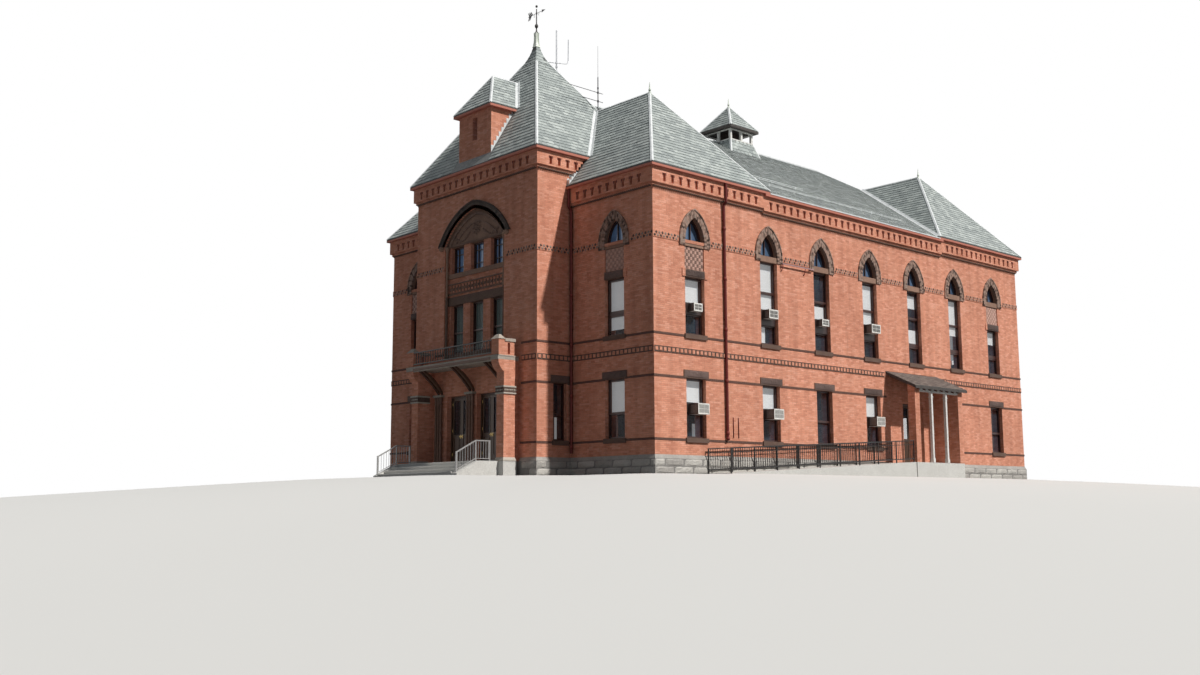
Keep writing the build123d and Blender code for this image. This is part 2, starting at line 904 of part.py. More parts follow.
def door_leaf(width):
    """The left leaf of a pair, closed: a rounded heel on its pivot, rails, a panel and a glazed opening."""
    x0 = -pivot_x(width)
    x1 = -leaf_gap / 2
    z0 = ground_floor_top + leaf_bottom_gap
    z1 = z0 + door_leaf_height
    y0, y1 = pivot_y - leaf_thickness / 2, pivot_y + leaf_thickness / 2
    bottom = (Align.CENTER, Align.CENTER, Align.MIN)
    leaf = block(x0, x1, y0, y1, z0, z1)
    leaf += Pos(x0, pivot_y, z0) * Cylinder(leaf_thickness / 2, door_leaf_height, align=bottom)
    inner0, inner1 = x0 + stile - leaf_thickness / 2, x1 - stile
    leaf -= block(inner0, inner1, y0, y1, z0 + bottom_panel + stile, z1 - stile)
    for low in (y0, y1 - panel_recess):
        leaf -= block(inner0, inner1, low, low + panel_recess, z0 + 2 * stile, z0 + bottom_panel)
    bore = Cylinder(pivot_radius + pivot_clearance, pivot_length + 1, align=bottom)
    leaf -= Pos(x0, pivot_y, z1 - pivot_length - 1) * bore
    leaf -= Pos(x0, pivot_y, z0) * bore
    return leaf


def leaf_glass(width):
    x0 = -pivot_x(width) + stile - leaf_thickness / 2
    x1 = -leaf_gap / 2 - stile
    z0 = ground_floor_top + leaf_bottom_gap
    return block(
        x0,
        x1,
        pivot_y - glass_thickness / 2,
        pivot_y + glass_thickness / 2,
        z0 + bottom_panel + stile,
        z0 + door_leaf_height - stile,
    )


def floor_pins(width):
    """The lower pins, standing in the threshold."""
    bottom = (Align.CENTER, Align.CENTER, Align.MIN)
    pins = []
    for side in (-1, 1):
        pins.append(
            Pos(side * pivot_x(width), pivot_y, ground_floor_top - 1)
            * Cylinder(pivot_radius, leaf_bottom_gap + pivot_length + 1, align=bottom)
        )
    return pins


side_door_place = place_right(side_y)
entrance_places = [Pos(x, 0, 0) for x in entrance_xs]
half_door = doorway_width / 2
half_side_door = side_doorway_width / 2
entrance_threshold = threshold(-half_door, half_door, 0, lower_wall) + floor_pins(doorway_width)
side_threshold = threshold(-half_side_door, half_side_door, 0, lower_wall) + floor_pins(side_doorway_width)
thresholds = spread(entrance_threshold, entrance_places) + [side_door_place * side_threshold]
door_frames = spread(door_frame(doorway_width), entrance_places)
door_frames.append(side_door_place * door_frame(side_doorway_width))

# Front porch
corbel_top = balcony_bottom - 90
pier_curve = Polyline(
    (-porch_pier_back, plinth_top),
    (-porch_pier_depth, plinth_top),
    (-porch_pier_depth, corbel_start),
)
reach = balcony_reach - stone_proud
shoulder = (
    -porch_pier_depth - (reach - porch_pier_depth) * 0.68,
    corbel_start + (corbel_top - corbel_start) * 0.48,
)
pier_arc = ThreePointArc((-porch_pier_depth, corbel_start), shoulder, (-reach, corbel_top))
pier_back = Polyline(
    (-reach, corbel_top),
    (-reach, balcony_bottom),
    (-porch_pier_back, balcony_bottom),
    (-porch_pier_back, plinth_top),
)
pier_side = make_face([pier_curve, pier_arc, pier_back])
pier = side_prism(pier_side, pier_x, porch_half)
link = block(pier_x, link_x, -porch_pier_back, 0, plinth_top, balcony_bottom)
post_front = parapet_post - reach
parapet = block(pier_x, porch_half, -reach, -porch_pier_back - 40, slab_top, parapet_top)
parapet += block(pier_x, porch_half, -reach, post_front, slab_top, parapet_top + parapet_post_rise)
parapet -= block(pier_x, porch_half, -parapet_slot[1], -parapet_slot[0], slab_top + 40, parapet_top - 45)
coping = block(
    pier_x - impost_proud,
    porch_half + impost_proud,
    post_front,
    -porch_pier_back,
    parapet_top,
    parapet_top + parapet_cap,
)
post_cap_base = parapet_top + parapet_post_rise
cap_half = porch_pier_width / 2 + impost_proud
cap_reach = parapet_post / 2 + impost_proud
cap_foot = Rectangle(2 * cap_half, 2 * cap_reach)
cap_head = Pos(0, 0, 170) * Rectangle(2 * cap_half - 300, 60)
cap_place = Pos(porch_half - porch_pier_width / 2, parapet_post / 2 - reach, post_cap_base)
cap = cap_place * loft([cap_foot, cap_head])
coping -= cap
impost = block(
    pier_x - impost_proud,
    porch_half + impost_proud,
    -porch_pier_depth - impost_proud,
    impost_proud - porch_pier_back,
    impost_level,
    impost_level + impost_height,
)
porch_piers = [mirrored(pier - impost), mirrored(link - impost), mirrored(parapet)]
balcony = block(-link_x, link_x, -balcony_reach, 0, balcony_bottom, slab_top)
balcony += block(-porch_half, porch_half, -balcony_reach, -porch_pier_back, balcony_bottom, slab_top)
porch_stones = [mirrored(impost), mirrored(coping), mirrored(cap), balcony]


def bracket(x):
    """A curved strut from the wall up to the balcony's front edge."""
    low = balcony_bottom - bracket_drop
    out = balcony_reach - 150
    belly = (-out * 0.42, low + bracket_drop * 0.58)
    inner = ThreePointArc((0, low), belly, (-out, balcony_bottom))
    outer_belly = (belly[0] - bracket_bar * 0.75, belly[1] - bracket_bar * 0.75)
    outer = ThreePointArc((-out - bracket_bar, balcony_bottom), outer_belly, (0, low - bracket_bar))
    top = Line((-out, balcony_bottom), (-out - bracket_bar, balcony_bottom))
    foot = Line((0, low - bracket_bar), (0, low))
    side = make_face([inner, top, outer, foot])
    return side_prism(side, x - bracket_width / 2, x + bracket_width / 2)


cluster_x = jamb_x + (pier_x - jamb_x) / 2
bracket_xs = []
for middle in (-cluster_x, 0, cluster_x):
    for side in (-1, 1):
        bracket_xs.append(middle + side * (bracket_gap + bracket_width) / 2)
brackets = [bracket(x) for x in bracket_xs]


def column(x):
    """A slender round shaft with its base and cap, standing on the landing against the wall."""
    y = -column_radius * 1.35
    top = doorway_head
    shaft = round_bar(column_radius, top - plinth_top)
    base = round_bar(column_radius * 1.13, column_base)
    head = round_bar(column_radius, column_cap, column_radius * 1.13)
    parts = shaft + base + Pos(0, 0, top - plinth_top - column_cap) * head
    return Pos(x, y, plinth_top) * parts


cluster = []
cluster_half = column_pitch * 1.6
for middle in (-cluster_x, 0, cluster_x):
    for n in range(column_count):
        cluster.append(column(middle + (n - (column_count - 1) / 2) * column_pitch))
    porch_stones.append(
        block(
            middle - cluster_half,
            middle + cluster_half,
            -column_radius * 2.7,
            0,
            doorway_head,
            balcony_bottom - bracket_drop - bracket_bar,
        )
    )

rail_top = slab_top + rail_height_above
rail_y = -balcony_reach + rail_bar
picket_count = int(2 * pier_x / picket_pitch)
railing = block(-pier_x, pier_x, rail_y, rail_y + rail_bar, rail_top - rail_bar, rail_top)
railing += block(-pier_x, pier_x, rail_y, rail_y + rail_bar, slab_top + 80, slab_top + 80 + rail_bar)
pickets = GridLocations(2 * pier_x / picket_count, 1, picket_count - 1, 1)
picket_length = rail_height_above - 80
picket = Box(picket_size, picket_size, picket_length)
picket_place = Pos(0, rail_y + rail_bar / 2, slab_top + 80 + picket_length / 2)
railing += [picket_place * part for part in pickets * picket]

# Steps with cheek walls and handrails
rise = plinth_top / (step_count + 1)
steps = [landing]
for n in range(step_count):
    top = plinth_top - (n + 1) * rise
    y1 = -landing_reach - n * tread
    steps.append(block(cheek_width - stair_half, stair_half - cheek_width, y1 - tread, y1, 0, top))
entrance_steps = steps[0] + steps[1:]
step_run = step_count * tread
cheek_side = outline(
    [
        (-landing_reach, 0),
        (-landing_reach, plinth_top),
        (-landing_reach - step_run, rise * 0.6),
        (-landing_reach - step_run, 0),
    ]
)
cheek = side_prism(cheek_side, stair_half - cheek_width, stair_half)
cheek_walls = mirrored(cheek)


def bar_between(start, end, size):
    """A square bar from one point to another in a plane of constant X."""
    path = Line(start, end)
    return sweep(Plane(start, z_dir=path % 0) * Rectangle(size, size), path)


rail_x = stair_half - cheek_width / 2
low_end = (rail_x, -landing_reach - step_run + 60, rise * 0.6 + handrail_height)
high_end = (rail_x, -landing_reach, plinth_top + handrail_height)
flat_end = (rail_x, -porch_pier_depth - 280, plinth_top + handrail_height)
slope = (plinth_top - rise * 0.6) / step_run
handrail = bar_between(low_end, high_end, handrail_size) + bar_between(high_end, flat_end, handrail_size)
post_half = handrail_size / 2
for y in (low_end[1] + post_half, high_end[1], flat_end[1] - post_half):
    base = plinth_top if y >= -landing_reach else plinth_top + (y + landing_reach) * slope
    top = base + handrail_height
    handrail += block(rail_x - post_half, rail_x + post_half, y - post_half, y + post_half, base, top)
handrails = mirrored(handrail - cheek_walls - landing)

# Side porch: floor, corner piers, posts under a beam, and a lean-to roof
porch_out = half_width + side_porch_reach
side_floor = block(half_width + plinth_proud, porch_out, *side_porch_y, 0, ground_floor_top)
side_walls = []
wall_low = block(
    half_width, porch_out, side_porch_y[1] - side_porch_wall, side_porch_y[1], ground_floor_top, side_porch_top
)
corner_pier = block(
    porch_out - side_porch_wall,
    porch_out,
    side_porch_y[0],
    side_porch_y[0] + side_porch_wall,
    ground_floor_top,
    side_porch_top,
)
run = side_porch_reach + side_porch_overhang
fall = side_porch_top - side_porch_eave
roof_side = outline(
    [
        (half_width, side_porch_top),
        (half_width, side_porch_top + side_porch_roof_thickness),
        (half_width + run, side_porch_eave + side_porch_roof_thickness),
        (half_width + run, side_porch_eave),
    ]
)
side_porch_roof = wall_prism(
    roof_side, side_porch_y[0] - side_porch_overhang, side_porch_y[1] + side_porch_overhang
)
under_roof = outline(
    [
        (half_width, 0),
        (half_width, side_porch_top),
        (half_width + run, side_porch_eave),
        (half_width + run, 0),
    ]
)
below = wall_prism(under_roof, side_porch_y[0] - side_porch_overhang, side_porch_y[1] + side_porch_overhang)
side_porch_walls = [wall_low & below, corner_pier & below]
beam_top = side_porch_top - fall * (side_porch_reach / run)
beam_bottom = beam_top - beam_depth
beam = block(
    porch_out - side_post,
    porch_out,
    side_porch_y[0] + side_porch_wall,
    side_porch_y[1] - side_porch_wall,
    beam_bottom,
    side_porch_top,
) & below
post_ys = [side_y - side_post_pitch / 2, side_y + side_post_pitch / 2]
side_porch_posts = beam
for y in post_ys:
    side_porch_posts += block(
        porch_out - side_post,
        porch_out,
        y - side_post / 2,
        y + side_post / 2,
        ground_floor_top,
        beam_bottom,
    )

# Ramp along the right wall up to the side porch
ramp_high = side_porch_y[0]
ramp_low = ramp_high - ramp_run
ramp_side = outline([(ramp_low, 0), (ramp_low, 30), (ramp_high, ground_floor_top), (ramp_high, 0)])
ramp_x = half_width + plinth_proud
ramp = side_prism(ramp_side, ramp_x, ramp_x + ramp_width)
ramp_slope = (ground_floor_top - 30) / ramp_run
rail_half = ramp_rail_size / 2
ramp_rails = []
for x in (ramp_x + 60, ramp_x + ramp_width - 60):
    low = (x, ramp_low, 30 + ramp_rail_height)
    high = (x, ramp_high - 60, ground_floor_top + ramp_rail_height - 60 * ramp_slope)
    rail = bar_between(low, high, ramp_rail_size)
    middle_low = (x, ramp_low, 30 + ramp_rail_height * 0.16)
    middle_high = (x, high[1], high[2] - ramp_rail_height * 0.84)
    rail += bar_between(middle_low, middle_high, ramp_rail_size)
    count = int(ramp_run / ramp_picket_pitch / 4)
    for n in range(count + 1):
        y = ramp_low + rail_half + n * (ramp_run - 60 - ramp_rail_size) / count
        foot = 30 + (y - ramp_low) * ramp_slope - 5
        rail += block(x - rail_half, x + rail_half, y - rail_half, y + rail_half, foot, foot + ramp_rail_height)
    ramp_rails.append(rail - ramp)

# Ventilator
vent = Pos(0, ventilator_from_front, 0)


def square_at(z, width):
    return Pos(0, 0, z) * Rectangle(width, width)


lower_cone = loft(
    [square_at(ventilator_base_level, ventilator_base_width), square_at(ventilator_sill, ventilator_width)]
)
ventilator_base = vent * lower_cone - hall_roof_volume
posts_height = ventilator_head - ventilator_sill
post_centre = (ventilator_width - ventilator_post) / 2
ventilator_posts = []
for x, y in [(-1, -1), (0, -1), (1, -1), (-1, 0), (1, 0), (-1, 1), (0, 1), (1, 1)]:
    place = Pos(x * post_centre, y * post_centre, (ventilator_sill + ventilator_head) / 2)
    ventilator_posts.append(vent * place * Box(ventilator_post, ventilator_post, posts_height))
vent_eave = ventilator_head + ventilator_fascia
vent_half = ventilator_eave_width / 2
vent_slope = outline(
    [
        (-vent_half, ventilator_head),
        (vent_half, ventilator_head),
        (vent_half, vent_eave),
        (0, vent_eave + ventilator_rise),
        (-vent_half, vent_eave),
    ]
)
ventilator_roof = vent * (
    wall_prism(vent_slope, -vent_half, vent_half) & side_prism(vent_slope, -vent_half, vent_half)
)


# Finials stand over the roof points, their feet cut to the slopes
bottom = (Align.CENTER, Align.CENTER, Align.MIN)


def knob(radius):
    """A ball of facets: two tapers with a short drum between them."""
    drum = Pos(0, 0, -radius * 0.35) * round_bar(radius, radius * 0.7)
    cap = round_bar(radius, radius * 0.65, radius * 0.35)
    upper = Pos(0, 0, radius * 0.35) * cap
    return drum + upper + mirror(upper, about=Plane.XY)


def finial(x, y, z, roof):
    """A tapered skirt over the point of a roof, with a rod and a ball."""
    skirt_height = finial_height * 0.5
    sunk = skirt_height / 2
    skirt = round_bar(finial_ball * 1.5, skirt_height, finial_radius)
    rod = round_bar(finial_radius, finial_height + sunk)
    ball = Pos(0, 0, finial_height * 0.7 + sunk) * knob(finial_ball)
    return Pos(x, y, z - sunk) * (skirt + rod + ball) - roof


ridge_end = half_width + overhang - block_hip_run
roof_finials = [
    mirrored(finial(ridge_end, front_ridge_y, block_ridge, front_volume)),
    mirrored(finial(ridge_end, back_ridge_y, block_ridge, back_volume)),
    finial(0, ventilator_from_front, vent_eave + ventilator_rise, ventilator_roof),
]

# Spire cap with its rod, ball and axle, and the vane that turns on the axle
rod_foot = spire_top - cap_height / 2
rod_top = spire_top + vane_rod_height
spire_cap += Pos(0, tower_middle_y, rod_foot) * Cylinder(
    vane_rod_radius, rod_top - rod_foot, align=bottom
)
spire_cap += Pos(0, tower_middle_y, spire_top + vane_rod_height * 0.45) * knob(finial_ball)
axle = Cylinder(vane_axle_radius, vane_axle_length + 1, align=bottom)
spire_cap += Pos(0, tower_middle_y, rod_top - 1) * axle
spire_cap += Pos(0, tower_middle_y, rod_top + vane_axle_length + finial_ball * 0.55) * knob(finial_ball * 0.7)
bore = vane_axle_radius + vane_clearance
sleeve_low = rod_top + vane_clearance
sleeve_high = sleeve_low + vane_axle_length - finial_ball
sleeve = Pos(0, tower_middle_y, sleeve_low) * Cylinder(
    vane_sleeve, sleeve_high - sleeve_low, align=bottom
)
arm_middle = (sleeve_low + sleeve_high) / 2
arm = outline(
    [
        (-vane_reach, arm_middle - 90),
        (-vane_reach, arm_middle + 190),
        (-vane_reach * 0.45, arm_middle + 25),
        (vane_reach * 0.55, arm_middle + 12),
        (vane_reach * 0.6, arm_middle + 60),
        (vane_reach, arm_middle),
        (vane_reach * 0.6, arm_middle - 60),
        (vane_reach * 0.55, arm_middle - 12),
        (-vane_reach * 0.45, arm_middle - 25),
    ]
)
half_vane = vane_thickness / 2
weather_vane = sleeve + wall_prism(arm, tower_middle_y - half_vane, tower_middle_y + half_vane)
weather_vane -= Pos(0, tower_middle_y, sleeve_low) * Cylinder(bore, sleeve_high - sleeve_low, align=bottom)


# Rainwater pipes: upright on wall clips, bent out under the eave
def rainwater_pipe(x, y, turn, top, low=1300, out=75, eave_out=190):
    """A pipe on a wall whose face is at the place, its outward side along local -Y."""
    bend = top - corbel_height - 3 * pipe_radius
    path = Polyline(
        (0, -out, low),
        (0, -out, bend),
        (0, -eave_out, bend + (eave_out - out)),
        (0, -eave_out, top),
    )
    pipe = sweep(Plane(path @ 0, z_dir=path % 0) * Circle(pipe_radius), path, transition=Transition.RIGHT)
    for share in (0.12, 0.5, 0.93):
        z = low + (bend - low) * share
        pipe += block(-pipe_radius * 0.4, pipe_radius * 0.4, -out, 0, z, z + 40)
    return Pos(x, y, 0) * Rot(0, 0, turn) * pipe


pipe_y = front_y + front_block_depth * 0.62
inner_corner = half_tower + 2 * pipe_radius
rainwater_pipes = [
    rainwater_pipe(half_width, pipe_y, 90, wall_top),
    rainwater_pipe(-half_width, pipe_y, -90, wall_top),
    rainwater_pipe(inner_corner, front_y, 0, wall_top, low=800),
    rainwater_pipe(-inner_corner, front_y, 0, wall_top, low=800),
]


# Air conditioners stand out of the sashes on the meeting rails. A board closes the sash round each one.
def conditioner(size, rail):
    width, height, reach, level = size
    case = block(-width / 2, width / 2, frame_setback - reach, frame_setback, level, level + height)
    half = window_width / 2 - 40
    y0 = frame_setback - unit_board
    return case + block(-half, half, y0, frame_setback, rail - 30, level + height + 25)


upper_sizes = [small_unit, middle_unit, small_high_unit, large_unit]
upper_units = zip(upper_sizes, (block_column, *hall_columns[:3]))
lower_units = (block_column, hall_columns[0], hall_columns[2])
air_conditioners = [place_right(y) * conditioner(size, upper_rail) for size, y in upper_units]
air_conditioners += [place_right(y) * conditioner(lower_unit, meeting_rail) for y in lower_units]


# Aerials on the front block's ridge, their feet cut to the roof
def mast(x, y, z0, z1, radius):
    return Pos(x, y, z0) * Cylinder(radius, z1 - z0, align=bottom)


aerial_top = hall_ridge + 3000
twin_mast = mast(-400, front_ridge_y, block_ridge, aerial_top, 28)
twin_mast += mast(-400 + aerial_spread, front_ridge_y, aerial_top - 1100, aerial_top - 150, 22)
twin_mast += block(
    -400, -400 + aerial_spread, front_ridge_y - 15, front_ridge_y + 15, aerial_top - 1080, aerial_top - 1050
)
boom_mast = mast(tv_mast_x, front_ridge_y, block_ridge - 100, block_ridge + tv_mast_height, 20)
for share, length in ((0.8, 750), (0.55, 480)):
    z = block_ridge + tv_mast_height * share
    boom_mast += block(
        tv_mast_x - length, tv_mast_x + length * 0.3, front_ridge_y - 10, front_ridge_y + 10, z, z + 20
    )
roofs_under = [front_volume, hall_roof_volume, tower_volume]
roof_masts = [twin_mast - roofs_under, boom_mast - roofs_under]

# Frames and glass of every window
trio_frames = []
trio_panes = []
for x in trio_middles:
    for low, high in (trio_lower, trio_upper):
        place = Pos(x, recess_depth, 0)
        rails = [low + (high - low) * 0.42] if high - low > 1500 else []
        trio_frames.append(place * sash_frame(trio_width, low, high, rails))
        trio_panes.append(place * pane_of(rectangle(trio_width, low, high)))
slot_pane = block(
    -slot_window_width / 2,
    slot_window_width / 2,
    dormer_wall - glass_thickness,
    dormer_wall,
    *slot_window,
)
window_frames = spread(tall_frames, tall_places) + spread(blind_frames, blind_places)
window_frames += spread(arch_frame(), arched_places) + spread(ground_frame, ground_places)
window_frames += spread(side_frame, side_places) + trio_frames
window_glass = spread(tall_pane, tall_places) + spread(blind_pane, blind_places)
window_glass += spread(arch_pane, arched_places) + spread(ground_pane, ground_places)
window_glass += spread(side_pane, side_places) + trio_panes + [slot_pane]

# Door leaves in their places, each with its glass
left_leaf, left_glass = door_leaf(doorway_width), leaf_glass(doorway_width)
side_leaf, side_glass = door_leaf(side_doorway_width), leaf_glass(side_doorway_width)
doors = {}
for name, place, leaf, glass in (
    ("west_door", entrance_places[0], left_leaf, left_glass),
    ("east_door", entrance_places[1], left_leaf, left_glass),
    ("side_door", side_door_place, side_leaf, side_glass),
):
    doors[name + "_left"] = place * leaf
    doors[name + "_left_glass"] = place * glass
    doors[name + "_right"] = place * mirror(leaf, about=Plane.YZ)
    doors[name + "_right_glass"] = place * mirror(glass, about=Plane.YZ)

nodes = {
    "foundation": foundation,
    "water_table": water_table,
    "ground_floor": ground_floor,
    "upper_floor": upper_floor,
    "right_wall_lower": right_wall_lower,
    "right_wall_upper": right_wall_upper,
    "left_wall": left_wall,
    "back_wall": back_wall,
    "wing_walls_lower": wing_walls_lower,
    "wing_walls_upper": wing_walls_upper,
    "tower_front_lower": tower_front_lower,
    "tower_front_upper": tower_front_upper,
    "tower_sides_lower": tower_sides_lower,
    "tower_sides_upper": tower_sides_upper,
    "brick_bands": [*belt_courses, *corbel_table],
    "window_stone": [*hoods, *sills, *lintels, *tower_stones],
    "window_frames": window_frames,
    "window_glass": window_glass,
    "front_block_roof": front_block_roof,
    "hall_roof": hall_roof,
    "back_block_roof": back_block_roof,
    "tower_roof": tower_roof,
    "dormer_walls": dormer_walls,
    "dormer_roof": dormer_roof,
    "ventilator_base": ventilator_base,
    "ventilator_posts": ventilator_posts,
    "ventilator_roof": ventilator_roof,
    "roof_finials": [*roof_finials, spire_cap],
    "weather_vane": weather_vane,
    "thresholds": thresholds,
    "door_frames": door_frames,
    **doors,
    "porch_brickwork": [*porch_piers, *side_porch_walls],
    "porch_stone": porch_stones,
    "porch_brackets": brackets,
    "porch_columns": cluster,
    "iron_rails": [railing, handrails, *ramp_rails],
    "entrance_steps": entrance_steps + cheek_walls,
    "side_landing": side_floor + ramp,
    "side_porch_posts": side_porch_posts,
    "side_porch_roof": side_porch_roof,
    "rainwater_pipes": rainwater_pipes,
    "air_conditioners": air_conditioners,
    "roof_masts": roof_masts,
}


def solids_of(shape):
    """Every solid in a shape or in a list of shapes."""
    if isinstance(shape, (list, tuple)):
        return [solid for item in shape for solid in solids_of(item)]
    return list(shape.solids())


for name, shape in nodes.items():
    solids = solids_of(shape)
    part = solids[0] if len(solids) == 1 else Compound(solids)
    export_step(part, "parts/" + name + ".step")
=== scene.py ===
import bpy
import numpy as np
from mathutils import Matrix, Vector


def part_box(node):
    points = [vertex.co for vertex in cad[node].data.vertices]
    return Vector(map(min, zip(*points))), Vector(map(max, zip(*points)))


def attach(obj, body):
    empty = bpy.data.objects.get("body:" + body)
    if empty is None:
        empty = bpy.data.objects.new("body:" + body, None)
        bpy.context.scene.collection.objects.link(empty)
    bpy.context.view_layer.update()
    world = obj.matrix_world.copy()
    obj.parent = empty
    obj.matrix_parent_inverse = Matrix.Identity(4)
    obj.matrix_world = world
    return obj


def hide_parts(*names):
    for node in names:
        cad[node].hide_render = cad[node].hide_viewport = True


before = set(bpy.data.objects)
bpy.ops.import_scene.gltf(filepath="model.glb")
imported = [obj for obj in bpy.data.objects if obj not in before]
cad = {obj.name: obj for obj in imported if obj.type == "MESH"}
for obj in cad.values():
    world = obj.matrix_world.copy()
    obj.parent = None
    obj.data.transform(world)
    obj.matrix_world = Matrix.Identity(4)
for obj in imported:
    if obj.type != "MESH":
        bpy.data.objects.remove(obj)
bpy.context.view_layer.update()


# The ground is only a stage: pale, plain and level where the building stands. It falls gently
# away on every side, as the real lot does, so that the plinth shows down to its foot.
def xyz(x, y, z):
    """Points from their three coordinates, each one number or a whole array."""
    return np.stack(np.broadcast_arrays(x, y, z), -1).astype(float)


def grid_faces(rows, columns, closed=False):
    """Four-sided faces between neighbouring points of a grid, stored row after row."""
    row, column = np.meshgrid(np.arange(rows - 1), np.arange(columns - 1 + closed), indexing="ij")
    near, far = row * columns + column, row * columns + (column + 1) % columns
    return np.stack([near, far, far + columns, near + columns], -1).reshape(-1, 4)


def mesh_object(name, points, faces, shades=None, smooth=False):
    """A mesh from whole arrays. A face is four corner numbers, or three and -1, and may carry a shade."""
    mesh = bpy.data.meshes.new(name)
    faces = np.asarray(faces, np.int32)
    used = faces >= 0
    corners = used.sum(1)
    mesh.vertices.add(len(points))
    mesh.vertices.foreach_set("co", np.asarray(points, np.float32).ravel())
    mesh.loops.add(int(corners.sum()))
    mesh.loops.foreach_set("vertex_index", faces[used])
    mesh.polygons.add(len(faces))
    mesh.polygons.foreach_set("loop_start", (np.cumsum(corners) - corners).astype(np.int32))
    if shades is not None:
        own = mesh.attributes.new("shade", "FLOAT", "FACE")
        own.data.foreach_set("value", np.asarray(shades, np.float32))
    mesh.update(calc_edges=True)
    mesh.validate()
    mesh.polygons.foreach_set("use_smooth", np.full(len(mesh.polygons), smooth))
    made = bpy.data.objects.new(name, mesh)
    bpy.context.scene.collection.objects.link(made)
    return made


def new_material(name, roughness=0.6, **settings):
    """A material whose fixed values stand on its shader's own sockets."""
    made = bpy.data.materials.new(name)
    made.use_nodes = True
    sockets = made.node_tree.nodes["Principled BSDF"].inputs
    sockets["Roughness"].default_value = roughness
    for key, value in settings.items():
        sockets[key.replace("_", " ")].default_value = value
    return made


def add(made, kind, inputs=(), **settings):
    """One node of a material. Each input is a number, a colour or another node's socket."""
    node = made.node_tree.nodes.new("ShaderNode" + kind)
    for key, value in settings.items():
        setattr(node, key, value)
    for key, value in dict(inputs).items():
        if isinstance(value, bpy.types.NodeSocket):
            made.node_tree.links.new(value, node.inputs[key])
        else:
            node.inputs[key].default_value = value
    return node


def calc(made, operation, first, second=0.0, third=0.0):
    """The result of one sum."""
    return add(made, "Math", {0: first, 1: second, 2: third}, operation=operation).outputs[0]


def blend(made, share, first, second, how="MIX"):
    """Two colours mixed by a share."""
    return add(made, "Mix", {0: share, 6: first, 7: second}, data_type="RGBA", blend_type=how).outputs[2]


def place_coords(made):
    """The point on the object, in metres."""
    return add(made, "TexCoord").outputs["Object"]


def finish(made, **sockets):
    """Joins colours, roughness or relief to the shader."""
    shader = made.node_tree.nodes["Principled BSDF"]
    for key, value in sockets.items():
        made.node_tree.links.new(value, shader.inputs[key.replace("_", " ")])
    return made


# Plan boxes that touch the ground: walls, tower, front steps, side porch with its ramp
standing = np.array([(-8.3, 8.3, 1.3, 26.1), (-4.1, 4.1, -0.2, 2), (-2.9, 2.9, -2.8, 0), (8, 9.6, 3.9, 18.7)])
rings, spokes, middle_y, level_reach, fall = 150, 144, 12, 2, 0.068
turn, reach = np.meshgrid(np.linspace(2 * np.pi, 0, spokes + 1)[:-1], np.geomspace(1, 430, rings) - 0.99)
ground_x, ground_y = reach * np.cos(turn), middle_y + reach * np.sin(turn)
outside_x = np.maximum(standing[:, 0] - ground_x[..., None], ground_x[..., None] - standing[:, 1])
outside_y = np.maximum(standing[:, 2] - ground_y[..., None], ground_y[..., None] - standing[:, 3])
away = np.hypot(np.maximum(outside_x, 0), np.maximum(outside_y, 0)).min(-1)
ground_z = -0.002 - fall * (np.sqrt(away**2 + level_reach**2) - level_reach)
ground_points = xyz(ground_x, ground_y, ground_z).reshape(-1, 3)
ground = mesh_object("ground", ground_points, grid_faces(rings, spokes, closed=True), smooth=True)
pale = new_material("pale_floor", 0.9)
from_middle = add(pale, "VectorMath", {0: place_coords(pale)}, operation="LENGTH").outputs[1]
fade = add(pale, "MapRange", {0: from_middle, 1: 45.0, 2: 110.0}).outputs[0]
by_camera = add(pale, "LightPath").outputs["Is Camera Ray"]
finish(pale, Base_Color=blend(pale, by_camera, (0.17, 0.17, 0.17, 1), (0.72, 0.72, 0.71, 1)))
plain = pale.node_tree.nodes["Principled BSDF"].outputs[0]
white = add(pale, "Emission", {"Color": (1, 1, 1, 1), "Strength": 1.0}).outputs[0]
both = add(pale, "MixShader", {0: calc(pale, "MULTIPLY", fade, by_camera), 1: plain, 2: white})
pale.node_tree.links.new(both.outputs[0], pale.node_tree.nodes["Material Output"].inputs[0])
ground.data.materials.append(pale)


# Plinth: rock-faced granite in two courses round the building, its joints broken, with a sloped
# course of the same stone on top. Each stone is split, not sawn, so its face swells between its edges.
def noise(made, at, scale, detail=3.0, rough=0.55):
    """Cloudy noise between 0 and 1 at a scale in clouds to the metre."""
    inputs = {"Vector": at, "Scale": scale, "Detail": detail, "Roughness": rough}
    return add(made, "TexNoise", inputs).outputs[0]


def ramp(made, value, *stops):
    """A colour for each value, read between stops of place and colour. A lone number stands for a grey."""
    node = add(made, "ValToRGB", {0: value})
    bar = node.color_ramp.elements
    while len(bar) < len(stops):
        bar.new(0.5)
    for element, (place, colour) in zip(bar, stops):
        element.position = place
        element.color = (*(colour if np.ndim(colour) else (colour,) * 3), 1)
    return node.outputs[0]


def bump(made, height, distance, strength=1.0):
    """Relief from a height between 0 and 1, as deep as the distance in metres."""
    return add(made, "Bump", {"Height": height, "Distance": distance, "Strength": strength}).outputs[0]


def times(made, first, second):
    """Two colours multiplied."""
    return blend(made, 1.0, first, second, "MULTIPLY")


def weighed(made, first, share, second):
    """A share of one value and the rest of another."""
    return calc(made, "ADD", calc(made, "MULTIPLY", first, share), calc(made, "MULTIPLY", second, 1 - share))


def axes(made, vector):
    """The X, Y and Z of a vector."""
    return add(made, "SeparateXYZ", {0: vector}).outputs


def facing(made):
    """The X, Y and Z of the way that a face looks."""
    return axes(made, add(made, "NewGeometry").outputs["True Normal"])


def own_shade(made):
    """The shade between 0 and 1 that each block was given."""
    return add(made, "Attribute", attribute_name="shade").outputs["Fac"]


def repeated(faces, corners, count):
    """A shape's faces for each of its copies, the corner numbers moved on past the copies before."""
    faces = np.asarray(faces)
    return np.where(faces < 0, -1, faces + corners * np.arange(count)[:, None, None]).reshape(-1, 4)


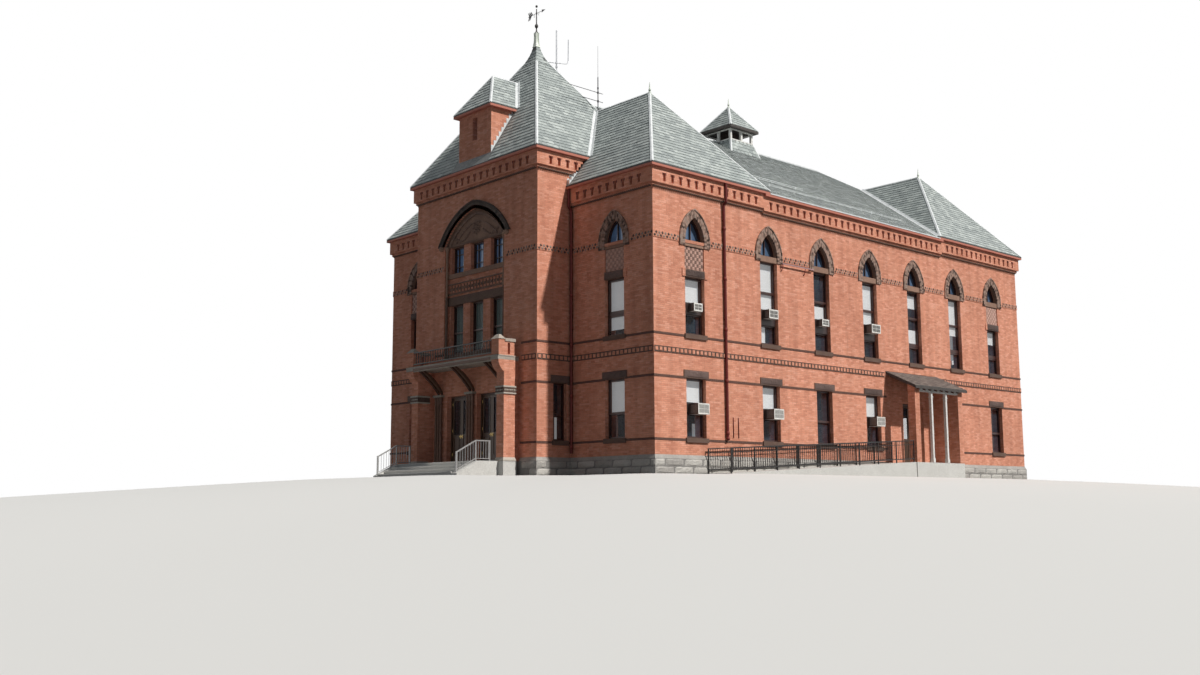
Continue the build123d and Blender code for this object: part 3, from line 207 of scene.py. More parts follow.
def solids(corners, shades=None):
    """Blocks of eight corners, numbered by their low or high X, then Y, then Z."""
    sides = [(0, 2, 3, 1), (4, 5, 7, 6), (0, 1, 5, 4), (2, 6, 7, 3), (0, 4, 6, 2), (1, 3, 7, 5)]
    shades = chance.random(len(corners)) if shades is None else np.broadcast_to(shades, len(corners))
    return corners.reshape(-1, 3), repeated(sides, 8, len(corners)), np.repeat(shades, 6)


def boxes(low, high, shades=None):
    """Upright boxes between their lowest and highest corners, one shade to a box."""
    low, high = np.atleast_2d(low).astype(float), np.atleast_2d(high).astype(float)
    ends = np.array([[n & 1, n >> 1 & 1, n >> 2] for n in range(8)])
    return solids(low[:, None] + (high - low)[:, None] * ends, shades)


def like_boxes(x, y, z, size, shades=None):
    """Boxes of one size with their lowest corners at the places."""
    low = xyz(x, y, z)
    return boxes(low, low + size, shades)


def joined(*shapes):
    """Several shapes as one, the corner numbers of each moved on past those before it."""
    points, faces, shades = zip(*shapes)
    starts = np.cumsum([0] + [len(own) for own in points])
    faces = [np.where(own < 0, -1, own + start) for own, start in zip(faces, starts)]
    return np.concatenate(points), np.concatenate(faces), np.concatenate(shades)


def on_walls(shape, places):
    """Copies of a shape drawn on a front wall, each turned about Z and moved to its wall's x, y and angle.
    The shades of a copy are moved on from the one before."""
    points, faces, shades = shape
    wall_x, wall_y, angle = np.atleast_2d(places).astype(float).T[..., None]
    angle = np.radians(angle)
    x = wall_x + np.cos(angle) * points[:, 0] - np.sin(angle) * points[:, 1]
    y = wall_y + np.sin(angle) * points[:, 0] + np.cos(angle) * points[:, 1]
    shades = (shades + 0.382 * np.arange(len(x))[:, None]) % 1
    return xyz(x, y, points[:, 2]).reshape(-1, 3), repeated(faces, len(points), len(x)), shades.ravel()


def rock_faces(x0, x1, z0, z1, face, swell, across=9, up=5):
    """Split stone faces at a depth: each grid swells by the product of two arches, with a chance ripple,
    and its outermost ring is folded back into the wall."""
    u, v = np.meshgrid(np.linspace(0, 1, across), np.linspace(0, 1, up))
    edge = np.minimum(1, 5 * np.minimum(np.minimum(u, 1 - u), np.minimum(v, 1 - v)))
    edges = [np.reshape(np.asarray(end, float), (-1, 1, 1)) for end in (x0, x1, z0, z1)]
    x0, x1, z0, z1 = np.broadcast_arrays(*edges)
    count = len(x0)
    ripple = chance.normal(0, 0.22, (count, up, across)) + 0.6 + 5.6 * u * (1 - u) * v * (1 - v)
    out = np.where(edge == 0, -0.006, 0.006 + swell * edge * ripple)
    shift = chance.normal(0, 0.25, (2, count, up, across)) * edge
    points = xyz(x0 + (x1 - x0) * (u + shift[0] / across), face - out, z0 + (z1 - z0) * (v + shift[1] / up))
    shades = np.repeat(chance.random(count), (up - 1) * (across - 1))
    return points.reshape(-1, 3), repeated(grid_faces(up, across), up * across, count), shades


def piece(name, shape, made, body="building", smooth=False):
    """A shape as a visible piece that rides on a body."""
    obj = mesh_object(name, *shape, smooth=smooth)
    obj.data.materials.append(made)
    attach(obj, body)
    return obj


def dress(made, *names):
    """Gives CAD nodes their material."""
    for name in names:
        cad[name].data.materials.clear()
        cad[name].data.materials.append(made)


def clear_of(run, centres, places, reach):
    """Which centres along a wall keep a reach from every place on it. A place is on the wall if its
    distance across the wall's way is about nothing and its distance along it lies within the length."""
    angle = np.radians(run[2])
    dx, dy = places[:, 0] - run[0], places[:, 1] - run[1]
    far, off = dx * np.cos(angle) + dy * np.sin(angle), dy * np.cos(angle) - dx * np.sin(angle)
    stands = (np.abs(off) < 0.02) & (far > -0.01) & (far < run[3] + 0.01)
    return (np.abs(centres[:, None] - far[stands]) > reach).all(1)


def granite_finish(name, light, dark, darker_below=None):
    """Speckled stone: fine grains, wider clouds and a shade for each block, half as bright under a height."""
    made = new_material(name, 0.85, Specular_IOR_Level=0.25)
    at = place_coords(made)
    grain = noise(made, at, 60, 2)
    tone = weighed(made, own_shade(made), 0.35, noise(made, at, 2.2, 4))
    colour = ramp(made, tone, (0.2, dark), (0.75, light))
    if darker_below is not None:
        low = calc(made, "LESS_THAN", axes(made, at)[2], darker_below)
        colour = blend(made, low, colour, times(made, colour, (0.5, 0.52, 0.55, 1)))
    speck = ramp(made, grain, (0.35, 0.72), (0.62, 1.1))
    relief = weighed(made, noise(made, at, 18, 5), 0.8, grain)
    return finish(made, Base_Color=times(made, colour, speck), Normal=bump(made, relief, 0.01, 0.8))


# Every straight wall: the x and y of its left end as seen from outside, its angle and its length
tower_half, wing_half, wing_face, back_face = 3.82, 8.06, 1.585, 25.785
wing_length, side_length = wing_half - tower_half, back_face - wing_face
wall_runs = np.array([
    (-tower_half, 0, 0, 2 * tower_half), (tower_half, wing_face, 0, wing_length),
    (-wing_half, wing_face, 0, wing_length),
    (tower_half, 0, 90, wing_face), (-tower_half, wing_face, -90, wing_face),
    (wing_half, wing_face, 90, side_length),
    (-wing_half, back_face, -90, side_length), (wing_half, back_face, 180, 2 * wing_half)])
chance = np.random.default_rng(11)
granite = granite_finish("split_granite", (0.62, 0.6, 0.56), (0.36, 0.34, 0.32))
front_entry, side_entry = np.array([(0, 0, 0)]), np.array([(wing_half, 16.785, 90)])
plinth_out, course, stone_length, joint = 0.06, 0.26, 0.92, 0.006
plinth_stones = []
for run in wall_runs:
    for level in (0, 1):
        joints = np.arange(-plinth_out - 0.45 * level, run[3] + 0.9, stone_length)
        left, right = np.clip(joints[:-1], -plinth_out, None), np.clip(joints[1:], None, run[3] + plinth_out)
        middle = (left + right) / 2
        keep = (right - left > 0.1) & clear_of(run, middle, side_entry, 2.1)
        keep &= clear_of(run, middle, front_entry, 3.2)
        if keep.any():
            stones = rock_faces(left[keep] + joint, right[keep] - joint, course * level + joint,
                                course * (level + 1) - joint, -plinth_out, 0.022)
            plinth_stones.append(on_walls(stones, run[:3]))
piece("plinth_stones", joined(*plinth_stones), granite)
dress(granite_finish("granite_joints", (0.42, 0.4, 0.38), (0.25, 0.24, 0.23)), "foundation")
dress(granite, "water_table")


# Front steps, landing and thresholds: sawn granite treads between cast cheek walls, with a worn
# rounded nosing on every tread. The side landing and its ramp are cast concrete.
def rounded(obj, name, width):
    """Rounds a piece's edges."""
    soft = obj.modifiers.new(name, "BEVEL")
    soft.width, soft.segments = width, 2


concrete = granite_finish("pale_concrete", (0.8, 0.79, 0.76), (0.66, 0.65, 0.62))
landing_z, tread, riser, number = 0.52, 0.3, 0.13, np.arange(4)
nosing_y, nosing_z = -1.668 - tread * number, landing_z - 0.035 - riser * number
nosings = like_boxes(-2.355, nosing_y, nosing_z, (4.71, 0.118, 0.039), 0.8)
rounded(piece("step_nosings", nosings, concrete), "worn", 0.012)
dress(concrete, "entrance_steps", "side_landing", "thresholds")


# Walls: orange-red pressed brick in running bond, courses 67 mm high. The bond follows the way
# each wall faces. Bricks differ in tone, joints are narrow and pinkish, and rain has clouded the faces.
def stretched(made, scale):
    """The point on the object, with each axis scaled."""
    return add(made, "Mapping", {"Vector": place_coords(made), "Scale": scale}).outputs[0]


def brick_finish(name, darks, dull=1.0):
    """Brick bond on the wall's own plane: across is Y where the wall faces X, else X; up is Z. Each pair
    in darks is the middle and half the height of a dark course."""
    made = new_material(name, 0.88, Specular_IOR_Level=0.2)
    here = place_coords(made)
    at, way = axes(made, here), facing(made)
    faces_x, faces_z = (calc(made, "GREATER_THAN", calc(made, "ABSOLUTE", way[n]), 0.6) for n in (0, 2))
    across = add(made, "Mix", {0: faces_x, 2: at[0], 3: at[1]}).outputs[0]
    up = add(made, "Mix", {0: faces_z, 2: at[2], 3: at[1]}).outputs[0]
    flat = add(made, "CombineXYZ", {0: across, 1: up, 2: 0.0}).outputs[0]
    bond = add(made, "TexBrick", {"Vector": flat, "Color1": (0, 0, 0, 1), "Color2": (1, 1, 1, 1),
                                  "Mortar": (0.5, 0.5, 0.5, 1), "Scale": 1.0, "Mortar Size": 0.0035,
                                  "Mortar Smooth": 0.3, "Brick Width": 0.213, "Row Height": 0.067},
               offset=0.5, offset_frequency=2)
    tones = [(0.0, (0.7, 0.295, 0.195)), (0.35, (0.8, 0.36, 0.24)), (0.75, (0.85, 0.4, 0.275)),
             (1.0, (0.9, 0.46, 0.335))]
    stops = [(place, tuple(dull * part for part in tone)) for place, tone in tones]
    colour = ramp(made, bond.outputs["Color"], *stops)
    washed = noise(made, stretched(made, (2.6, 2.6, 0.22)), 1.0, 5, 0.6)
    stain, grit = noise(made, here, 0.35, 4, 0.6), noise(made, here, 38, 3)
    for cloud, *stops in ((washed, (0.32, (0.84, 0.8, 0.79)), (0.6, 1.02)),
                          (stain, (0.3, (0.86, 0.84, 0.83)), (0.7, (1.06, 1.05, 1.05))),
                          (grit, (0.3, (0.84, 0.83, 0.82)), (0.7, 1.1))):
        colour = times(made, colour, ramp(made, cloud, *stops))
    for middle, half in darks:
        colour = blend(made, calc(made, "COMPARE", at[2], middle, half), colour, (0.13, 0.075, 0.06, 1))
    colour = blend(made, calc(made, "MULTIPLY", bond.outputs["Fac"], 0.6), colour, (0.5, 0.27, 0.21, 1))
    sand = calc(made, "MULTIPLY", noise(made, here, 45, 3), 0.25)
    relief = calc(made, "SUBTRACT", sand, bond.outputs["Fac"])
    return finish(made, Base_Color=colour, Normal=bump(made, relief, 0.006, 0.9))


def clouded_finish(name, roughness, cloud, *stops, scale=None, relief=None, **settings):
    """A colour that follows cloudy noise of a scale, a detail and perhaps a roughness, on scaled axes if a
    scale is given. A relief is the distance and strength of a bump from the same noise."""
    made = new_material(name, roughness, **settings)
    value = noise(made, place_coords(made) if scale is None else stretched(made, scale), *cloud)
    if relief:
        finish(made, Normal=bump(made, value, *relief))
    return finish(made, Base_Color=ramp(made, value, *stops))


brick = brick_finish("pressed_brick", ())
dress(brick, "right_wall_lower", "right_wall_upper", "left_wall", "back_wall", "wing_walls_lower",
      "wing_walls_upper", "tower_front_lower", "tower_front_upper", "tower_sides_lower", "tower_sides_upper",
      "dormer_walls", "porch_brickwork")
boards = clouded_finish("floor_boards", 0.7, (1.0, 6), (0.3, (0.1, 0.06, 0.03)), (0.7, (0.22, 0.13, 0.07)),
                        scale=(7.0, 0.4, 1.0))
dress(boards, "ground_floor", "upper_floor")


# Bands and corbel tables: thin courses coloured near black at sill and lintel height, a band of square
# studs at the upper floor, a band of diamonds where the arches spring, and slotted corbels under the eaves.
def diamonds(centres, level, half, face, proud):
    """Four-sided studs, point outwards: a diamond's corners on the face and one peak before it."""
    corner = np.array([(-half, 0, 0), (0, 0, -half), (half, 0, 0), (0, 0, half), (0, -proud, 0)])
    points = corner + xyz(centres, face, level)[:, None]
    sides = [(0, 1, 4, -1), (1, 2, 4, -1), (2, 3, 4, -1), (3, 0, 4, -1), (0, 3, 2, 1)]
    shades = np.repeat(np.resize([0.05, 0.95], len(centres)), 5)
    return points.reshape(-1, 3), repeated(sides, 5, len(centres)), shades


def shaded_finish(name, stops, rough=0.85, grain=30.0, depth=0.004):
    """A colour by each block's own shade, with fine grain."""
    made = new_material(name, rough, Specular_IOR_Level=0.3)
    at = place_coords(made)
    fine = noise(made, at, grain, 4)
    colour = ramp(made, weighed(made, own_shade(made), 0.8, noise(made, at, 3, 3)), *stops)
    speck = ramp(made, fine, (0.3, 0.8), (0.7, 1.12))
    return finish(made, Base_Color=times(made, colour, speck), Normal=bump(made, fine, depth, 0.8))


def corbel_front(length, top, start, end):
    """The raised face of a corbel table, in front of its slots: a band under them, one over them and a
    pier between each pair, cut back at the head. Behind it each slot has a surround painted dark red as
    shade, so that the slot looks wider and deeper."""
    pitch, face, back, base = 0.4, -0.14, -0.129, top - 0.63
    count = max(1, int(length / pitch - 1))
    slots = length / 2 + (np.arange(count) - (count - 1) / 2) * pitch
    bars = [boxes(xyz(-start, face, [base + 0.09, base + 0.46]),
                  xyz(length + end, back, [base + 0.16, top - 0.004]), 0.5)]
    for half, foot, head in ((0.062, 0.16, 0.37), (0.1, 0.37, 0.46)):
        left, right = np.append(-start, slots + half), np.append(slots - half, length + end)
        bars.append(boxes(xyz(left, face, base + foot), xyz(right, back, base + head), 0.5))
    reveal = [like_boxes(slots + near, -0.132, base + 0.16, (0.0515, 0.003, 0.3), 0.2)
              for near in (0.0485, -0.1)]
    return joined(*bars), joined(*reveal)


def across_middle(run):
    """A run's mirror image across the middle of the front, which starts at the run's far end."""
    (x, y, angle), length, top, start, end = run
    way = np.radians(angle)
    return (-x - length * np.cos(way), y + length * np.sin(way), -angle), length, top, end, start


bays, back_bays = 7.63 + 3.174 * np.arange(6), (-4.997, -1.773, 1.773, 4.997)
end_bay, wing_middle = 3.62, 6.131
wing_fronts = [(wing_middle, wing_face, 0), (-wing_middle, wing_face, 0)]
back_windows = [(x, back_face, 180) for x in back_bays]
arched_windows = np.array(
    [(wing_half, y, 90) for y in bays] + [(-wing_half, y, -90) for y in bays] + back_windows
    + [(wing_half, end_bay, 90), (-wing_half, end_bay, -90)] + wing_fronts)
blind_windows = arched_windows[[5, 11, 16, 17, 18, 19]]
tall_windows = arched_windows[[0, 1, 2, 3, 4, 6, 7, 8, 9, 10, 12, 13, 14, 15]]
dress(brick_finish("band_brick", [(1.1675, 0.05), (3.2925, 0.05), (4.7375, 0.05)], 0.92), "brick_bands")
studs, stud_grounds = [], []
for run in wall_runs:
    centres = np.arange(0.1, run[3] - 0.05, 0.2)
    c = centres[clear_of(run, centres, side_entry, 1.98) & clear_of(run, centres, front_entry, 3.05)]
    studs.append(on_walls(like_boxes(c - 0.062, -0.04, 4.128, (0.124, 0.03, 0.124)), run[:3]))
    stud_grounds.append(on_walls(like_boxes(c - 0.1, -0.022, 4.085, (0.2, 0.012, 0.21), 0.12), run[:3]))
piece("stud_band", joined(*studs), brick)
mottled = shaded_finish("mottled_headers", [(0.1, (0.06, 0.04, 0.033)), (0.35, (0.23, 0.15, 0.118)),
                                            (0.65, (0.42, 0.275, 0.22)), (0.9, (0.33, 0.25, 0.21))])
piece("stud_grounds", joined(*stud_grounds), mottled)
lozenges = []
for run in wall_runs:
    centres = np.arange(0.075, run[3] - 0.05, 0.15)
    keep = clear_of(run, centres, arched_windows, 0.84)
    if run[0] == -tower_half and run[2] == 0:
        keep &= np.abs(centres - tower_half) > 1.97
    for level, shift in ((8.075, 0.0), (8.175, 0.075)):
        c = centres[keep] + shift
        lozenges.append(on_walls(diamonds(c[c < run[3] - 0.04], level, 0.062, -0.018, 0.022), run[:3]))
piece("diamond_band", joined(*lozenges), mottled)
tower_top, block_top, hall_top = 11.67, 10.43, 10.34
# Each run's start and angle, its length, its top and how far it goes on past its start and its end
table_runs = [((tower_half, 0, 90), 2.21, tower_top, 0.129, 0),
              ((tower_half, wing_face, 0), wing_length, block_top, 0, 0.14),
              ((wing_half, wing_face, 90), 5.7, block_top, 0.129, 0),
              ((wing_half, 7.285, 90), 12, hall_top, 0, 0),
              ((wing_half, 19.285, 90), 6.5, block_top, 0, 0.129)]
table_runs += [across_middle(run) for run in table_runs]
table_runs += [((-tower_half, 0, 0), 2 * tower_half, tower_top, 0.14, 0.14),
               ((wing_half, back_face, 180), 2 * wing_half, block_top, 0.14, 0.14)]
fronts, reveals = zip(*[[on_walls(part, place) for part in corbel_front(*sizes)]
                        for place, *sizes in table_runs])
piece("corbel_faces", joined(*fronts), brick)
# The slots' surrounds are painted dark red as shade.
painted_shade_red = shaded_finish("painted_shade_red_brick", [(0.0, (0.16, 0.05, 0.04)), (1.0, (0.26, 0.09, 0.07))])
piece("corbel_reveals", joined(*reveals), painted_shade_red)
teeth = []
for place, length, top, *_ in table_runs:
    tooth_x = np.arange(0.023, length - 0.027, 0.1)
    teeth.append(on_walls(like_boxes(tooth_x, -0.086, top - 0.675, (0.054, 0.08, 0.05), 0.2), place))
piece("corbel_teeth", joined(*teeth), mottled)


# Window stonework: pointed hoods of small mottled headers in two rings with a moulded outer edge,
# smooth brown sandstone transoms, rock-faced lintels and long plain sills bedded in the wall.
def arch_blocks(radii, spring, count, centre, face, back, gap):
    """Wedge stones of both halves of a pointed arch. Each half turns about its centre from the spring
    to the point, where its radius reaches the middle line, and a share of each stone is left as joint."""
    share = np.arange(count)[:, None] / count + np.array([gap / 2, 1 - gap / 2]) / count
    cx, cz = centre
    corner = []
    for y in (face, back):
        for r in radii:
            start, end = np.arcsin((spring - cz) / r), np.arccos(min(1, -cx / r))
            angle = start + (end - start) * share
            corner.append(xyz(cx + r * np.cos(angle), y, cz + r * np.sin(angle)))
    right = np.stack([ring[:, end] for end in (0, 1) for ring in corner], 1)
    left = right[:, [1, 0, 3, 2, 5, 4, 7, 6]] * (-1, 1, 1)
    return solids(np.concatenate([right, left]))


hood_spring, hood_centre = 8.12, (-0.49, 8.12)
# Each ring's inner and outer radius, its stones to a side, its face and the share left as joint
hood_rings = (((0.975, 1.095), 15, -0.042, 0.08), ((1.1, 1.215), 17, -0.038, 0.08),
              ((1.215, 1.262), 12, -0.062, 0.0))
hood_parts = [arch_blocks(radii, hood_spring, count, hood_centre, face, 0.02, gap)
              for radii, count, face, gap in hood_rings]
jamb_z = 7.91 + np.arange(3) * 0.07
for side in (-1, 1):
    for near, far, face in ((0.487, 0.605, -0.04), (0.61, 0.725, -0.04), (0.725, 0.772, -0.062)):
        x0, x1 = sorted((side * near, side * far))
        hood_parts.append(boxes(xyz(x0, face, jamb_z + 0.002), xyz(x1, 0.02, jamb_z + 0.068)))
piece("hood_stones", on_walls(joined(*hood_parts), arched_windows), mottled)
# Under 7 m, where the sills are, this stone is half as bright.
sandstone = granite_finish("brown_sandstone", (0.46, 0.29, 0.21), (0.27, 0.165, 0.125), darker_below=7.0)
dress(sandstone, "window_stone")
ground_windows = np.array([(wing_half, y, 90) for y in (end_bay, *bays[:3], bays[5])]
                          + [(-wing_half, y, -90) for y in (end_bay, *bays)] + wing_fronts + back_windows)
tower_side_windows = [(tower_half, 1.0675, 90), (-tower_half, 1.0675, -90)]
lintel_rock = [on_walls(rock_faces(-half, half, foot, head, -0.03, swell, across, 6), places)
               for half, foot, head, swell, across, places in (
                   (0.615, 3.3, 3.555, 0.022, 20, ground_windows),
                   (0.435, 3.3, 3.555, 0.02, 12, tower_side_windows),
                   (0.487, 6.825, 7.085, 0.02, 16, blind_windows))]
lintel_rock.append(on_walls(boxes((-0.62, -0.03, 6.82), (0.62, 0.17, 7.09), 0.5), blind_windows[:2]))
dark_stone = granite_finish("rock_faced_sandstone", (0.19, 0.13, 0.115), (0.075, 0.052, 0.047))
piece("rock_lintels", joined(*lintel_rock), dark_stone)
bearings = like_boxes([-0.64, 0.492], -0.034, 6.815, (0.148, 0.044, 0.28))
piece("lintel_bearings", on_walls(bearings, blind_windows), brick)

# Blind panels over the sashes of the front block and of each side wall's last bay: small bricks laid
# in pairs, pair across pair, like basket work, pressed into the panel's dark bed.
cell, tall, lying, joint = 0.1085, 0.1145, 0.057, 0.007
column, row = (n.ravel() for n in np.meshgrid(np.arange(9), np.arange(7)))
upright = (column + row) % 2
weave = []
for half in (0, 1):
    brick_x = -0.484 + (column + upright * half / 2) * cell
    low = xyz(brick_x, 0.045, 7.1 + row * tall + (1 - upright) * half * lying)
    size = xyz(np.where(upright, cell / 2, cell) - joint, 0.02, np.where(upright, tall, lying) - joint)
    weave.append(boxes(low, low + size, np.where(upright, 0.3, 0.85) + 0.1 * half))
basket = shaded_finish("basket_brick", [(0.1, (0.12, 0.08, 0.065)), (0.35, (0.46, 0.27, 0.22)),
                                        (0.95, (0.74, 0.49, 0.41))])
panel_bed = boxes((-0.5, 0.055, 7.09), (0.5, 0.16, 7.91), 0.0)
panel_beds = [on_walls(panel_bed, window) for window in blind_windows]
piece("basket_panels", joined(on_walls(joined(*weave), blind_windows), *panel_beds), basket)


# Windows: double-hung wooden sashes painted dark red-brown, set deep in the wall, with clear glass,
# an upright bar in each arched light and white roller shades drawn to different heights.
def round_bar(path, radius, sides=8, way=None):
    """A round bar: at each point of its path a ring of points, square to the path and as wide as the
    radius there, and a closed end at both points. Its way is the path's own unless one is given."""
    path = np.asarray(path, float)
    way = np.gradient(path, axis=0) if way is None else np.broadcast_to(np.asarray(way, float), path.shape)
    way = way / np.linalg.norm(way, axis=1)[:, None]
    aside = (0.31, 0.17, 0.93)
    side = np.cross(way, aside if abs(way[0] @ aside) < 0.9 else (0.93, 0.31, 0.17))
    side /= np.linalg.norm(side, axis=1)[:, None]
    angle = np.linspace(0, 2 * np.pi, sides, endpoint=False)[:, None]
    ring = np.cos(angle) * side[:, None] + np.sin(angle) * np.cross(way, side)[:, None]
    points = path[:, None] + ring * np.reshape(np.broadcast_to(radius, len(path)), (-1, 1, 1))
    count, corner = len(path) * sides, np.arange(sides)
    after = (corner + 1) % sides
    none = np.full(sides, -1)
    low = np.stack([none + 1 + count, after, corner, none], -1)
    high = np.stack([none + 2 + count, corner + count - sides, after + count - sides, none], -1)
    faces = np.concatenate([grid_faces(len(path), sides, closed=True), low, high])
    return np.concatenate([points.reshape(-1, 3), path[:1], path[-1:]]), faces, np.full(len(faces), 0.5)


def turned(x, y, profile, sides=16):
    """A turned shape that stands at a place of the plan, from its profile of heights and radii."""
    heights, radii = np.asarray(profile, float).T
    return round_bar(xyz(x, y, heights), radii, sides, (0, 0, 1))


sash_paint = clouded_finish("sash_paint", 0.35, (9, 5), (0.3, (0.035, 0.014, 0.012)),
                            (0.75, (0.07, 0.026, 0.02)))
finish(sash_paint, Normal=bump(sash_paint, noise(sash_paint, place_coords(sash_paint), 25, 3), 0.002, 0.5))
dress(sash_paint, "window_frames")
glass = new_material("window_glass", 0.03, IOR=1.6)
glass_at = place_coords(glass)
on_axes = axes(glass, glass_at)
# The glass's colour is a painted reflection of blue sky: deeper in the arched lights, and brighter still on
# the front, which stands in shade.
top_light = calc(glass, "GREATER_THAN", on_axes[2], 7.88)
in_front = calc(glass, "LESS_THAN", on_axes[1], 2.0)
clouds = noise(glass, glass_at, 0.8, 2)
sky_reflection_blue = ramp(glass, clouds, (0.3, (0.05, 0.085, 0.15)), (0.7, (0.11, 0.18, 0.3)))
sky_reflection_blue = blend(glass, in_front, sky_reflection_blue, (0.25, 0.42, 0.72, 1))
clear = ramp(glass, clouds, (0.3, (0.05, 0.075, 0.11)), (0.7, (0.12, 0.17, 0.24)))
finish(glass, Base_Color=blend(glass, top_light, clear, sky_reflection_blue),
       Alpha=calc(glass, "MULTIPLY_ADD", top_light, 0.76, 0.16),
       Normal=bump(glass, noise(glass, glass_at, 2.5, 2), 0.004, 0.25))
dress(glass, "window_glass", *[name for name in cad if name.endswith("_glass") and "door" in name])
pane = 0.43
arch_bar = boxes((-0.015, 0.17, 8.18), (0.015, 0.225, 8.9), 0.5)
meeting_rails = boxes(xyz(-pane, 0.165, [5.48, 5.62]), xyz(pane, 0.25, [5.56, 5.69]), 0.5)
upper_rail = boxes((-pane, 0.165, 6.7), (pane, 0.25, 6.78), 0.5)
ground_rails = boxes([(-pane, 0.17, 2.06), (-pane, 0.162, 2.1)], [(pane, 0.25, 2.16), (pane, 0.2, 2.13)], 0.5)
for name, bars, places in (("tall_sash_bars", (arch_bar, meeting_rails, upper_rail), tall_windows),
                           ("blind_sash_bars", (arch_bar, meeting_rails), blind_windows),
                           ("ground_sash_bars", (ground_rails,), ground_windows)):
    piece(name, on_walls(joined(*bars), places), sash_paint)
trio = np.array([-1.27, 0, 1.27])
light_bars = like_boxes(np.append(trio - 0.171, trio + 0.149), 0.34, 7.95, (0.022, 0.06, 0.94), 0.5)
cross_z = np.repeat([8.159, 8.649], 3)
cross_bars = like_boxes(np.tile(trio, 2) - 0.36, 0.345, cross_z, (0.72, 0.05, 0.022), 0.5)
piece("tower_light_bars", joined(light_bars, cross_bars), sash_paint)
# The shades glow a little by emission: painted light that keeps them bright behind the glass.
cloth = clouded_finish("glowing_white_shades", 0.9, (3, 2), (0.35, (0.9, 0.9, 0.88)), (0.65, (0.97, 0.97, 0.96)),
                       scale=(1.0, 1.0, 14.0), Emission_Color=(1, 1, 1, 1), Emission_Strength=0.22)
# Each shade's place, its foot, its head and its right edge
shades_drawn = [((wing_half, y, 90), foot, head, pane) for y, foot, head in (
    (end_bay, 5.98, 6.76), (bays[0], 5.98, 7.86), (bays[1], 6.02, 6.6), (bays[2], 6.12, 7.81),
    (bays[3], 7.21, 7.75), (bays[3], 5.72, 6.28), (bays[4], 6.33, 7.86), (bays[5], 6.2, 6.76),
    (end_bay, 2.49, 3.22), (bays[0], 2.43, 3.22), (bays[2], 2.44, 3.22))]
shades_drawn += [((wing_half, bays[0], 90), 4.9, 5.48, 0.02), (wing_fronts[0], 5.05, 6.75, pane),
                 (wing_fronts[0], 2.1, 3.22, pane), (wing_fronts[1], 2.5, 3.22, pane)]
shades_drawn += [(place, 5.9 + 0.5 * (n % 3), 6.76 if n == 5 else 7.86, pane)
                 for n, place in enumerate(arched_windows[6:16])]
shades_drawn += [(place, 1.95, 3.22, pane) for place in ground_windows[5:12]]
rolls = [on_walls(joined(boxes((-pane, 0.262, foot), (right, 0.266, head), 0.5),
                         round_bar([(-pane, 0.264, foot), (right, 0.264, foot)], 0.011, 6)), place)
         for place, foot, head, right in shades_drawn]
piece("roller_shades", joined(*rolls), cloth)


# Tower front: a sunk panel under a pointed arch. Two rings of headers, painted near black as shade,
# turn round it and stop on carved knobs, a slender shaft runs up each jamb, and low moulded stone
# fills the head of the arch.
def bosses(centres, along_half, across_half, tilt, rise, face):
    """Low oval domes on a front face. Each ring shrinks by a cosine as it rises by a sine, and all turn by
    a tilt."""
    rings, sides = 5, 12
    lift, angle = np.meshgrid(np.linspace(0, np.pi / 2 * 0.96, rings),
                              np.linspace(0, 2 * np.pi, sides + 1)[:-1], indexing="ij")
    a, b = np.cos(lift) * np.cos(angle) * along_half, np.cos(lift) * np.sin(angle) * across_half
    centres = np.atleast_2d(centres)
    tilt = np.broadcast_to(tilt, len(centres))[:, None, None]
    x = centres[:, 0, None, None] + a * np.cos(tilt) - b * np.sin(tilt)
    z = centres[:, 1, None, None] + a * np.sin(tilt) + b * np.cos(tilt)
    points = xyz(x, face - rise * np.sin(lift), z)
    tops = points[:, -1:].mean(2)
    points = np.concatenate([points.reshape(len(centres), -1, 3), tops], 1)
    each, corner, none = rings * sides + 1, np.arange(sides) + (rings - 1) * sides, np.full(sides, -1)
    cap = np.stack([none + each, corner, np.roll(corner, -1), none], -1)
    faces = repeated(np.concatenate([grid_faces(rings, sides, closed=True), cap]), each, len(centres))
    return points.reshape(-1, 3), faces, np.full(len(faces), 0.4)


recess_centre, recess_spring = (-0.372, 7.526), 9.0
inner_ring = arch_blocks((2.7, 2.84), recess_spring, 17, recess_centre, -0.03, 0.05, 0.02)
piece("recess_arch_inner_ring", inner_ring, brick)
recess_rings = joined(arch_blocks((2.845, 2.985), recess_spring, 19, recess_centre, -0.06, 0.05, 0.05),
                      arch_blocks((2.985, 3.03), recess_spring, 14, recess_centre, -0.085, 0.05, 0.0))
# These headers, and the lantern's core further on, are painted near black as shade.
painted_shade_headers = shaded_finish("painted_shade_headers", [(0.1, (0.03, 0.026, 0.024)), (0.9, (0.13, 0.095, 0.08))])
piece("recess_arch_headers", recess_rings, painted_shade_headers)
knob = [(8.84, 0.02), (8.87, 0.1), (8.93, 0.13), (9.0, 0.12), (9.02, 0.07)]
shaft = [(4.58, 0.075), (4.66, 0.075), (4.7, 0.05), (6.6, 0.05), (6.63, 0.062), (6.68, 0.05), (8.78, 0.05),
         (8.82, 0.068), (8.94, 0.085), (8.98, 0.085)]
jamb_work = [turned(side * x, y, profile, 12) for x, y, profile in ((2.06, -0.02, knob), (1.81, 0.06, shaft))
             for side in (-1, 1)]
piece("recess_shafts", joined(*jamb_work), sandstone, smooth=True)
rosette_z, petal_out, relief_ground = 9.5, 0.19, 0.14
leaf_angle = np.arange(8) * np.pi / 4
petal_at = np.column_stack([petal_out * np.cos(leaf_angle), rosette_z + petal_out * np.sin(leaf_angle)])
petals = bosses(petal_at, 0.1, 0.055, leaf_angle, 0.06, relief_ground)
spray = np.linspace(0.45, 1.5, 9)
spray_z = 9.16 + 0.11 * np.sin(spray * 5.2) + 0.1 * (1.5 - spray)
leaf_tilt = 0.9 * np.cos(spray * 5.2)
